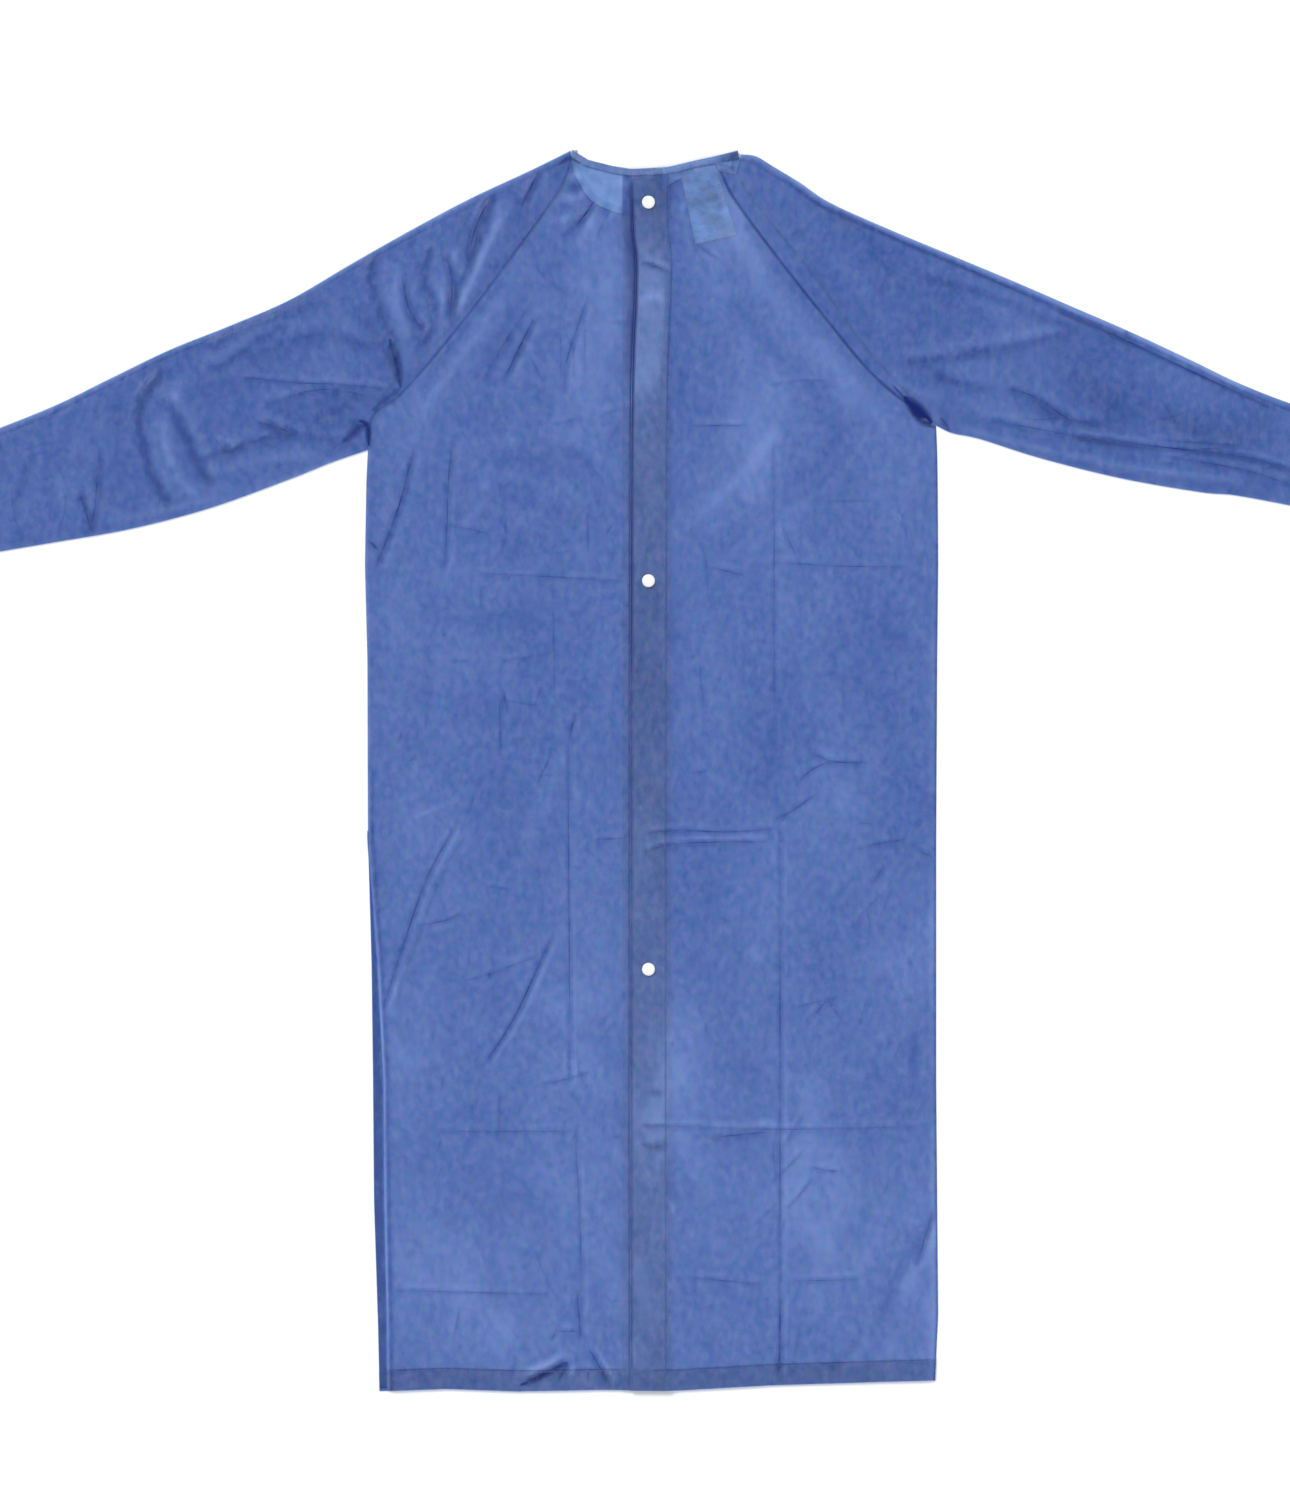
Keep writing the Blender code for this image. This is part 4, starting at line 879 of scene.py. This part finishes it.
# Back, right half
def makeBackRight(material):
    underarm = garment["underarmRight"][1]
    right, drop = sideEdge(3, garment["hemDepth"], underarm, "backSeamRight", -1)
    levels = levelRows(right, underarm, outline["backNeckRight"][0][1])
    line = curveThrough(outline["overlap"], 80)
    edge = np.interp(levels, line[:, 1], line[:, 0])[:, None]
    facing = garment["overlapRaw"] - edge
    places = turnedPlaces(garment["overlapFacing"], garment["facingRadius"])
    inward, facingDrop = foldOver(places, garment["facingRadius"])
    stretch = facing / garment["overlapFacing"] - 1.0
    scale = np.where(places < 0, 1.0, 0.0)[None] * stretch + 1.0
    start = edge + inward[-1]
    wide = (1.0 - sideShares(garment["rightWidth"]))[::-1][1:]
    x1 = right[:, :1]
    xs = np.hstack([edge + inward[None] * scale, start + (x1 - start) * wide[None]])
    shares = (xs - edge) / (x1 - edge)
    left = np.column_stack([edge[:, 0], levels])
    top = neckRow(left[-1], right[-1], shares[-1], outline["backNeckRight"])
    top[-1] = right[-1]
    plan = bodyPlan(left, right, shares, top)
    x, y = plan[..., 0], plan[..., 1]
    rise, hazeAndShading = creaseField(x, y, creasesRight)
    fall = np.r_[facingDrop, np.zeros(len(wide))]
    lift = garment["facingLift"] * (1.0 - smoothStep(*garment["overlapClimb"], x))
    under = backBed(x, y) + garment["backClear"] + hemLift(x, y) + lift
    under = under + underlapLift(x, y) + labelLift(x, y)
    fromSide = np.where(y < underarm, x1 - x, farAway)
    soft = smoothStep(0.0, 10.0, fromSide) * smoothStep(12.0, 24.0, x)
    onFacing = 1.0 - smoothStep(12.0, 24.0, x)
    z = under - sideClose(fromSide) + soft * (rise + rolls(x, y)) + 0.35 * onFacing * rise
    z = z - drop[:, None] - fall[None]
    placket = np.interp(y, placketTones["y"], placketTones["tone"])
    hazeAndShading = hazeAndShading + placket * onFacing * smoothStep(22.0, 4.0, x)
    hazeAndShading = hazeAndShading + 0.14 * smoothStep(120.0, 300.0, y) * smoothStep(10.0, 60.0, x)
    rim = 0.25 * bell(fromSide, 4.6, 2.2) - 0.9 * (1.0 - smoothStep(0.4, 2.2, fromSide))
    hazeAndShading = hazeAndShading + clouds(x, y, 22) + rim - hemShade(x, y)
    return clothPiece("backRightFilm", np.dstack([x, y, z]), hazeAndShading, material)


# Sleeves
sleeves = {
    "left": {
        "top": "sleeveTopLeft", "bottom": "sleeveBottomLeft", "upper": "backSeamLeft",
        "lower": "frontSeamLeft", "neck": ["neckPointLeft"], "side": -1, "creases": creasesSleeveLeft,
        "seed": 31,
    },
    "right": {
        "top": "sleeveTopRight", "bottom": "sleeveBottomRight", "upper": "backSeamRight",
        "lower": "frontSeamRight", "neck": ["neckPointRight", "sleeveNeckCorner"], "side": 1,
        "creases": creasesSleeveRight, "seed": 32,
    },
}
sleeveShape = {
    "edgeRadius": 0.62, "loft": 1.2, "cuffTurn": 20.0, "cuffRadius": 0.30, "cuffLift": 1.4,
    "darker": 0.21,
}


def makeSleeve(name, spec, material):
    cell = garment["cell"]
    neckEnds = np.array([outline[key] for key in spec["neck"]], float)
    upperEdge = np.vstack([neckEnds, seam(spec["upper"], seamCount, spec["side"])])
    lowerEdge = np.vstack([neckEnds[:1], seam(spec["lower"], seamCount, spec["side"])])
    upperEdge = evenly(upperEdge, int(lengthOf(upperEdge) / cell))
    lowerEdge = evenly(lowerEdge, int(lengthOf(lowerEdge) / (1.5 * cell)))
    length = lengthOf(outline[spec["top"]])
    sections = int(round(length / cell))
    top = curveThrough(outline[spec["top"]], sections)
    bottom = curveThrough(outline[spec["bottom"]], sections)
    top[0], bottom[0] = upperEdge[0], upperEdge[-1]
    # the cuff's turned hem goes on past the last section, back into the sleeve
    places = turnedPlaces(sleeveShape["cuffTurn"], sleeveShape["cuffRadius"])[::-1][1:]
    inward, drop = foldOver(places, sleeveShape["cuffRadius"])
    cuffWay = (top[-8] - top[-1] + bottom[-8] - bottom[-1]) / 2
    cuffWay /= np.hypot(*cuffWay)
    shift = cuffWay[None] * inward[:, None]
    top = np.vstack([top, top[-1] + shift])
    bottom = np.vstack([bottom, bottom[-1] + shift])
    drop = np.r_[np.zeros(sections), drop][:, None]
    along = np.r_[np.linspace(0.0, 1.0, sections), np.ones(len(places))]

    def layerPlan(edge):
        across = sharesAlong(edge)[None, :, None]
        plan = top[:, None] * (1.0 - across) + bottom[:, None] * across
        nearArmhole = (1.0 - along) ** 3
        return plan + nearArmhole[:, None, None] * (edge - plan[0])[None]

    radius = sleeveShape["edgeRadius"]
    upper, lower = layerPlan(upperEdge), layerPlan(lowerEdge)
    fromCuff = np.r_[(1.0 - along[:sections]) * length, inward][:, None]
    cuffLift = sleeveShape["cuffLift"] * (1.0 - smoothStep(18.0, 40.0, fromCuff))
    x, y = upper[..., 0], upper[..., 1]
    fromTop = np.hypot(x - x[:, :1], y - y[:, :1])
    fromEdge = np.minimum(fromTop, np.hypot(x - x[:, -1:], y - y[:, -1:]))
    soft = smoothStep(0.0, 12.0, fromEdge)
    across = sharesAlong(upperEdge)[None]
    rise, hazeAndShading = creaseField(x, y, spec["creases"])
    loft = sleeveShape["loft"] * np.sin(math.pi * across) * (0.3 + 0.7 * along[:, None])
    bed = garment["backBed"] + garment["backClear"]
    raised = soft * (rise + rolls(x, y)) + loft
    raised = raised + cuffLift * smoothStep(0.0, 6.0, fromEdge) + labelLift(x, y)
    upperZ = np.maximum(bed + raised, bed - 0.4) - drop
    lowerZ = garment["frontLevel"] + drop + np.zeros(lower.shape[:2])
    # a painted highlight along the top fold, with a crease's painted shade below it
    topStrip = 0.42 - 0.95 * bell(fromTop, 7.5, 2.2)
    hazeAndShading = hazeAndShading + topStrip * (1.0 - smoothStep(8.0, 12.0, fromTop))
    # painted highlight along the folded edges
    rim = 0.30 * (1.0 - smoothStep(0.0, 5.0, fromEdge))
    hazeAndShading = hazeAndShading + clouds(x, y, spec["seed"]) - sleeveShape["darker"] + rim
    lowerHazeAndShading = 0.12 * waves(lower[..., 0], lower[..., 1], 60.0, 12) - sleeveShape["darker"]
    lowerHazeAndShading[0] -= 0.5  # the raw edge at the armhole, darkened as painted shade

    def arc(line, start, end, inside):  # the folded edge between the two layers
        way = unit(line - inside)
        steps = []
        for share in np.linspace(0.0, 1.0, 7)[1:-1]:
            reach = (math.sin(math.pi * share) - 1.0) * radius - drop[:, 0]
            place = line + way * reach[:, None]
            swing = (1.0 - math.cos(math.pi * share)) / 2
            steps.append(np.column_stack([place, start * (1.0 - swing) + end * swing]))
        return np.stack(steps, axis=1)

    def inset(plan):
        moved = plan.copy()
        for edge, inner in ((0, 2), (-1, -3)):
            way = unit(plan[:, inner] - plan[:, edge])
            moved[:, edge] += way * (radius + drop)
        return moved

    upper, lower = inset(upper), inset(lower)
    upperRing = np.dstack([upper, upperZ])
    lowerRing = np.dstack([lower, lowerZ])[:, ::-1]
    low = arc(bottom, upperZ[:, -1], lowerZ[:, -1], upper[:, -3])
    high = arc(top, lowerZ[:, 0], upperZ[:, 0], upper[:, 2])
    ring = np.concatenate([upperRing, low, lowerRing, high, upperRing[:, :1]], axis=1)
    # the folded edges between the layers, painted paler as a highlight
    edgeHighlight = np.full((len(ring), 5), 0.30)
    ringHazeAndShading = np.hstack([hazeAndShading, edgeHighlight, lowerHazeAndShading[:, ::-1], edgeHighlight, hazeAndShading[:, :1]])
    if spec["side"] > 0:
        ring, ringHazeAndShading = ring[:, ::-1], ringHazeAndShading[:, ::-1]
    return clothPiece("sleeveFilm" + name.capitalize(), ring, ringHazeAndShading, material, around=True)


# Neck binding: a strip folded over the neck's raw edge
bindingShape = {
    "radius": 0.42, "turn": 0.66, "columns": 7, "crown": 0.10, "paler": 0.30,
    "overlap": 0.5,  # of a back binding on its panel
    "frontLevel": 0.57, "leftLift": 0.3, "rightLift": 0.5,
}


def makeBinding(name, near, far, middleZ, material, hazeAndShading=0.0):  # its tone: one value, or one for each place
    radius, turn, columns = (bindingShape[key] for key in ("radius", "turn", "columns"))
    width = np.linalg.norm(far - near, axis=1).mean() - radius
    bend = np.linspace(-turn, turn, columns)[1:-1]
    places = np.r_[np.linspace(-width, -turn, columns), bend, np.linspace(turn, width, columns)]
    inward, drop = foldOver(places, radius)
    share = (inward / (width + radius))[:, None, None]
    plan = far[None] * (1.0 - share) + near[None] * share
    bulge = np.sin(np.pi * np.clip(share[..., 0], 0.0, 1.0))
    crown = bindingShape["crown"] * bulge * np.sign(places)[:, None]
    z = middleZ[None] + radius - drop[:, None] + crown
    tone = hazeAndShading + bindingShape["paler"] * bulge + np.zeros(z.shape)
    points = np.dstack([plan[..., 0], plan[..., 1], z])
    if np.cross(far[-1] - far[0], near[0] - far[0]) > 0:
        points, tone = points[:, ::-1], tone[:, ::-1]
    return clothPiece(name, points, tone, material)


def makeBindings(material, sheer):  # sheer: for the front one, which the back covers
    base = evenly(frontNeckCurve, 110)
    near, far = leftOf(base, 0.1), leftOf(base, 0.3 + garment["bindingWidth"])
    share = np.linspace(0.0, 1.0, len(base))
    endTone = -1.0 * smoothStep(0.76, 0.88, share) - 1.2 * smoothStep(0.12, 0.04, share)
    level = np.full(len(base), bindingShape["frontLevel"])
    frontBinding = makeBinding("frontBinding", near, far, level, sheer, endTone)

    def topLine(key, near):
        line = np.array(outline[key], float)
        return np.column_stack([near[:, 0], np.interp(near[:, 0], line[:, 0], line[:, 1])])

    near = evenly(curveThrough(outline["backNeckLeft"], 60), 60)
    far = topLine("backNeckLeftTop", near)
    x, y = near[:, 0], near[:, 1]
    climb = garment["facingLift"] * smoothStep(*garment["underlapClimb"], x) * 0.6
    z = backBed(x, y) + garment["backClear"] + climb + bindingShape["leftLift"]
    onPanel = [0.0, bindingShape["overlap"]]
    left = makeBinding("backBindingLeft", near - onPanel, far, z, material)
    near = evenly(curveThrough(outline["backNeckRight"], 80), 80)
    far = topLine("backNeckRightTop", near)
    far[-1] = outline["backNeckRightTop"][-1]
    x, y = near[:, 0], near[:, 1]
    z = backBed(x, y) + garment["backClear"] + underlapLift(x, y) + labelLift(x, y)
    z = z + bindingShape["rightLift"]
    endTone = -1.1 * smoothStep(58.0, 80.0, x)
    right = makeBinding("backBindingRight", near - onPanel, far, z, material, endTone)
    return frontBinding, left, right


# Label
def makeLabel(material):
    topLeft, topRight, bottomLeft, bottomRight = np.array(labelPiece["corners"])
    up = np.linspace(0.0, 1.0, 49)[:, None, None]
    across = np.linspace(0.0, 1.0, 25)[None, :, None]
    plan = (bottomLeft * (1 - across) + bottomRight * across) * (1 - up)
    plan = plan + (topLeft * (1 - across) + topRight * across) * up
    x, y = plan[..., 0], plan[..., 1]
    z = backBed(x, y) + 0.15 + 0.08 * waves(x, y, 22.0, 41)
    return clothPiece("neckLabel", np.dstack([x, y, z]), np.zeros(x.shape), material)


# Lines on the film: seams, and dark sheets of painted shade for the sharp core of each crease, for tucks
# and along the over-lap's edge
lineShape = {"creaseWidth": 1.5, "deepWidth": 6.5, "lift": 0.07, "step": 3.5}


def topOf(plan, trees):  # height of the cloth's top under each place
    z = np.zeros(plan.shape[:-1])
    for k in np.ndindex(z.shape):
        above = Vector((plan[k][0] * mm, plan[k][1] * mm, 0.05))
        hits = [tree.ray_cast(above, Vector((0, 0, -1)))[0] for tree in trees]
        z[k] = max([hit.z / mm for hit in hits if hit is not None], default=0.0)
    return z


def makeLines(name, rows, trees, material, level=None):  # rows: line, its reach to each side, strength
    patches = []
    for line, right, left, strength in rows:
        plan = np.stack([leftOf(line, -right), line, leftOf(line, left)])
        z = topOf(plan, trees) if level is None else np.full(plan.shape[:2], level)
        highest = z.max(axis=0)
        if highest.min() <= 0.0:
            continue
        z = np.where(z > 0.0, z, highest[None])
        z[1] = np.maximum(z[1], np.minimum(z[0], z[2]))
        deselectAll()
        bpy.ops.mesh.primitive_grid_add(x_subdivisions=len(line) - 1, y_subdivisions=2, size=1)
        patch = bpy.context.object
        points = np.dstack([plan, z + lineShape["lift"]])
        patch.data.vertices.foreach_set("co", (points.reshape(-1, 3) * mm).ravel())
        tones = np.array([0.0, 1.0, 0.0])[:, None] * strength[None]
        patch.data.attributes.new("hazeAndShading", "FLOAT", "POINT").data.foreach_set("value", tones.ravel())
        patches.append(patch)
    return joined(name, patches, material)


def smoothLine(way):
    line = curveThrough(way, 6 * len(way)) if len(way) > 2 else np.asarray(way, float)
    return evenly(line, max(int(lengthOf(line) / lineShape["step"]), 4))


# the sharp core of each dark crease, a dark sheet of painted shade
def creaseRows(creases):
    rows = []
    for way, width, rise, tone in creases:
        if tone > -0.12 or width > 5.0:
            continue
        line = smoothLine(way)
        share = np.linspace(0.0, 1.0, len(line))
        taper = np.sin(math.pi * share) ** 0.6 * (0.75 + 0.25 * np.sin(share * 17.0 + way[0][0]))
        broad = lineShape["creaseWidth"] + lineShape["deepWidth"] * max(-tone - 1.0, 0.0)
        half = (0.15 + 0.85 * taper) * broad / 2
        rows.append((line, half, half, taper * min(-tone, 1.2)))
    return rows


def seamRow(way, move, half, strength, left=None):  # strength: one value, or pairs of height and value
    line = leftOf(way, move)
    line = evenly(line, int(lengthOf(line) / lineShape["step"]))[1:-1]
    share = np.linspace(0.0, 1.0, len(line))
    if not isinstance(strength, float):
        heights, values = np.array(strength, float).T
        strength = np.interp(line[:, 1], heights, values)
    uneven = (1.0 + 0.2 * np.sin(share * 31.0)) * smoothStep(0.0, 0.02, np.minimum(share, 1.0 - share))
    return line, half, left or half, strength * uneven


def alongHem(inside, low, high, count):  # a line on the hem, that far inside its raw edge
    x = np.linspace(low, high, count)
    return np.column_stack([x, hemY(x) + garment["hemDepth"] - inside])


def tuckShadeRow(way, half, strength):
    line = smoothLine(way)
    taper = np.sin(math.pi * np.linspace(0.04, 0.96, len(line))) ** 0.7
    return line, half * taper, half * taper, strength * np.ones(len(line))


# Snap caps
cap = {
    "radius": 6.45,
    "base": 0.99,  # height of the round base under the dome
    # how far in and how far up each step goes: a dome with a shallow round dish in its middle
    "steps": [
        (0.55, 0.50), (0.85, 0.34), (1.3, 0.22), (1.5, 0.10), (1.2, 0.03), (0.25, -0.06), (0.6, 0.0),
    ],
}


def makeCap(name, material):
    node = "snap_cap_" + name
    low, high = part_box(node)
    middle = ((low[0] + high[0]) / 2, (low[1] + high[1]) / 2)
    deselectAll()
    bpy.ops.mesh.primitive_cylinder_add(
        vertices=64, radius=cap["radius"] * mm, depth=cap["base"] * mm,
        location=(middle[0], middle[1], low[2] + cap["base"] / 2 * mm),
    )
    piece = bpy.context.object
    bpy.ops.object.transform_apply(location=True, rotation=True, scale=True)
    bpy.ops.object.mode_set(mode="EDIT")
    bpy.ops.mesh.select_all(action="DESELECT")
    selectFaces(piece, lambda up: up > 0.9)
    for inward, rise in cap["steps"]:
        bpy.ops.mesh.inset(thickness=inward * mm, depth=0.0)
        bpy.ops.transform.translate(value=(0.0, 0.0, rise * mm))
    bpy.ops.object.mode_set(mode="OBJECT")
    applyModifier(piece, "BEVEL", width=0.12 * mm, segments=2, limit_method="ANGLE", angle_limit=0.7)
    applyModifier(piece, "SUBSURF", levels=1, render_levels=1)
    return finishPiece(piece, "snapCap" + name.capitalize(), material), node


# Stitches: small threads laid end to end along a line
stitch = {
    "length": 2.6, "pitch": 3.5, "width": 0.34,
    # shares: of the length that is straight, of the width and length that each end narrows by, and
    # of the pitch where the thread shows
    "straight": 0.6, "narrower": 0.28, "end": 0.2, "shows": [0.13, 0.87],
}


def makeStitches(name, ways, trees, material):
    deselectAll()
    bpy.ops.mesh.primitive_cylinder_add(
        vertices=5, radius=stitch["width"] / 2 * mm, depth=stitch["length"] * stitch["straight"] * mm,
    )
    model = bpy.context.object
    bpy.ops.object.mode_set(mode="EDIT")
    selectFaces(model, lambda up: abs(up) > 0.9)
    narrower, longer = stitch["width"] * stitch["narrower"], stitch["length"] * stitch["end"]
    bpy.ops.mesh.inset(thickness=narrower * mm, depth=longer * mm)
    bpy.ops.object.mode_set(mode="OBJECT")
    copies = []
    for line in ways:
        spots = evenly(line, max(int(lengthOf(line) / stitch["pitch"]), 2) + 1)
        for a, b in zip(spots[:-1], spots[1:]):
            ends = a + (b - a) * np.array(stitch["shows"])[:, None]
            tops = topOf(ends, trees)
            if tops.min() <= 0.0:
                continue
            start, end = (Vector((*spot, z)) * mm for spot, z in zip(ends, tops))
            each = bpy.data.objects.new(name, model.data.copy())
            turn = (end - start).to_track_quat("Z", "Y")
            each.matrix_world = Matrix.LocRotScale((start + end) / 2, turn, None)
            bpy.context.scene.collection.objects.link(each)
            copies.append(each)
    bpy.data.objects.remove(model)
    return joined(name, copies, material)


# Stage, light and camera
# height: of the picture on the floor; distance in metres; sensor as the camera counts it
view = {"height": 1512.0, "centre": (-8.0, 15.0), "distance": 4.0, "sensor": 36.0}
lights = [
    # name, strength, angular size, direction from which it shines (degrees of azimuth, elevation)
    ("key", 2.3, 22.0, 128.0, 42.0),
    ("fill", 0.8, 70.0, -40.0, 50.0),
]


def makeStage():
    deselectAll()
    bpy.ops.mesh.primitive_plane_add(size=40.0, location=(0.0, 0.0, 0.0))
    floor = bpy.context.object
    floor.name = "floor"
    tree = Tree("floor paper")
    grain = tree.noise(tree.place(), 260.0, 2.0)
    colour = tree.mixed(grain, (0.905, 0.905, 0.90, 1.0), (0.93, 0.93, 0.925, 1.0))
    floor.data.materials.append(tree.finished(tree.body(colour, 0.9, 0.1)))
    for name, strength, size, azimuth, elevation in lights:
        data = bpy.data.lights.new(name, "SUN")
        data.energy = strength
        data.angle = math.radians(size)
        lamp = bpy.data.objects.new(name, data)
        bpy.context.scene.collection.objects.link(lamp)
        turn, lift = math.radians(azimuth), math.radians(elevation)
        flat = math.cos(lift)
        towards = Vector((math.cos(turn) * flat, math.sin(turn) * flat, math.sin(lift)))
        lamp.rotation_euler = towards.to_track_quat("Z", "Y").to_euler()
        lamp.location = towards * 3.0
    world = bpy.data.worlds.new("studio")
    world.use_nodes = True
    sky = world.node_tree.nodes["Background"]
    sky.inputs["Color"].default_value = (1.0, 1.0, 1.0, 1.0)
    sky.inputs["Strength"].default_value = 0.50
    scene = bpy.context.scene
    scene.world = world
    scene.view_settings.view_transform = "Standard"
    scene.cycles.transparent_max_bounces = 24
    scene.cycles.max_bounces = 3
    scene.cycles.diffuse_bounces = 1
    scene.cycles.glossy_bounces = 1
    camera = bpy.data.cameras.new("camera")
    camera.sensor_fit = "VERTICAL"
    camera.sensor_height = view["sensor"]
    camera.lens = view["sensor"] * view["distance"] / (view["height"] * mm)
    camera.clip_end = 50.0
    eye = bpy.data.objects.new("camera", camera)
    eye.location = (view["centre"][0] * mm, view["centre"][1] * mm, view["distance"])
    scene.collection.objects.link(eye)
    scene.camera = eye
    print("stage, lights and camera are ready")


def facesArea(piece):  # of one side of the film, in square metres
    return sum(face.area for face in piece.data.polygons) / 2


def place(piece, slot, node=None):  # node: the solid that the piece stands for, if any
    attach(piece, "root")
    if node:
        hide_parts(node)


makeStage()
film = (filmMaterial("blue film", filmFinish), undersideMaterial("blue film underside", filmFinish))
bindingFinish = dict(filmFinish, solidity=0.26)
bindingFilm = (
    filmMaterial("binding film", bindingFinish), undersideMaterial("binding underside", bindingFinish),
)
sheerFinish = dict(filmFinish, solidity=0.02, specular=0.0, tint=(0.97, 0.985, 1.0, 1.0))
sheerFilm = filmMaterial("sheer binding", sheerFinish)
shadeAndSeamFilm = shadeAndSeamMaterial("creased film", shadeAndSeamFinish)
tape = labelMaterial()
plastic = capMaterial()
thread = threadMaterial()

front = makeFront(film)
sideRoll = makeSideRoll(film)
backLeft = makeBackLeft(film)
backRight = makeBackRight(film)
sleeveLeft = makeSleeve("left", sleeves["left"], film)
sleeveRight = makeSleeve("right", sleeves["right"], film)
frontBinding, backBindingLeft, backBindingRight = makeBindings(bindingFilm, sheerFilm)
label = makeLabel(tape)

place(front, "film", "front_panel")
place(sideRoll, "film")
place(backLeft, "film", "back_left_panel")
place(backRight, "film", "back_right_panel")
place(sleeveLeft, "film", "sleeve_left")
place(sleeveRight, "film", "sleeve_right")
place(frontBinding, "binding", "neck_binding_front")
place(backBindingLeft, "binding", "neck_binding_back_left")
place(backBindingRight, "binding", "neck_binding_back_right")
place(label, "label", "neck_label")
for name in ("top", "middle", "bottom"):
    piece, node = makeCap(name, plastic)
    place(piece, "snap", node)

graph = bpy.context.evaluated_depsgraph_get()
upperPieces = (backLeft, backRight, sleeveLeft, sleeveRight)
tops = {piece.name: BVHTree.FromObject(piece, graph) for piece in upperPieces}
everyTop = list(tops.values())
hemWay = alongHem(0.5, -263.0, 282.0, 80)
seamLine = {key: curveThrough(outline[key], 90) for key in outline if "Seam" in key}
overlapLine = curveThrough(outline["overlap"], 80)
# painted shade along the over-lap's raised edge (edgeTone), and the painted shadow it casts to its left
# (shadeTone)
edgeTone = [(-612, 0.30), (-150, 0.30), (80, 0.35), (160, 0.55), (330, 0.75), (590, 0.75)]
shadeTone = [(380, 0.0), (450, 0.38), (560, 0.40), (592, 0.30)]
lines = {
    "seamAndEdgeShadeLines": ([
        seamRow(seamLine["backSeamLeft"], 0.0, 2.4, 0.20),
        seamRow(seamLine["backSeamRight"], 0.0, 2.4, 0.42),
        seamRow(hemWay[hemWay[:, 0] < -28.0], 0.0, 1.5, 0.30),
        seamRow(hemWay[hemWay[:, 0] > -14.0], 0.0, 1.5, 0.26),
        seamRow(overlapLine, -0.9, 3.2, edgeTone),
        seamRow(overlapLine[45:], -0.5, 1.5, shadeTone, 13.0),
        seamRow(overlapLine + [36.0, 0.0], 0.0, 1.6, 0.22),
    ], everyTop),
    "tuckShadeLines": ([tuckShadeRow(*row) for row in tuckShades], everyTop),
    "creaseShadeLinesLeft": (creaseRows(creasesLeft), [tops["backLeftFilm"]]),
    "creaseShadeLinesRight": (creaseRows(creasesRight), [tops["backRightFilm"]]),
    "creaseShadeLinesSleeveLeft": (creaseRows(creasesSleeveLeft), [tops["sleeveFilmLeft"]]),
    "creaseShadeLinesSleeveRight": (creaseRows(creasesSleeveRight), [tops["sleeveFilmRight"]]),
}
frontRows = [
    seamRow(seamLine["frontSeamLeft"], 0.0, 1.5, 0.28),
    seamRow(seamLine["frontSeamRight"], 0.0, 1.5, 0.42),
    seamRow(frontNeckCurve, 0.0, 2.2, 0.20),
]
linePieces = [makeLines(name, rows, trees, shadeAndSeamFilm) for name, (rows, trees) in lines.items()]
linePieces.append(makeLines("frontSeamLines", frontRows, None, shadeAndSeamFilm, 0.62))
for piece in linePieces:
    place(piece, "film")
hemLine = alongHem(1.5, -262.0, 281.0, 60)
seams = {
    "hemStitches": [hemLine[hemLine[:, 0] < -24.0], hemLine[hemLine[:, 0] > -20.0]],
    "facingStitches": [np.array([(12.5, -608.0), (12.5, 590.0)]), overlapLine + [2.5, 0.0]],
    "seamStitches": [
        leftOf(seamLine["backSeamLeft"], 1.6), leftOf(seamLine["backSeamRight"], -1.6),
    ],
}
for name, ways in seams.items():
    place(makeStitches(name, ways, everyTop, thread), "film")

cuts = {
    # flat size in metres, what it rests on and the pieces that go with it
    "front": (front, (0.575, 1.256), [], [sideRoll]),
    "backLeft": (backLeft, (0.338, 1.254), ["front_panel"], []),
    "backRight": (backRight, (0.345, 1.250), ["front_panel", "back_left_panel"], []),
    "sleeveLeft": (sleeveLeft, (0.66, 0.79), [], []),
    "sleeveRight": (sleeveRight, (0.62, 0.79), [], []),
    "frontBinding": (frontBinding, (0.014, 0.240), ["front_panel"], []),
    "backBindingLeft": (backBindingLeft, (0.017, 0.096), ["back_left_panel"], []),
    "backBindingRight": (backBindingRight, (0.017, 0.112), ["back_right_panel"], []),
    "label": (label, (0.042, 0.074), ["front_panel"], []),
}
for name, (piece, flat, under, others) in cuts.items():
    area = facesArea(piece)
    print(name, "flat", flat, "area", round(area, 5), "share", round(area / (flat[0] * flat[1]), 3))
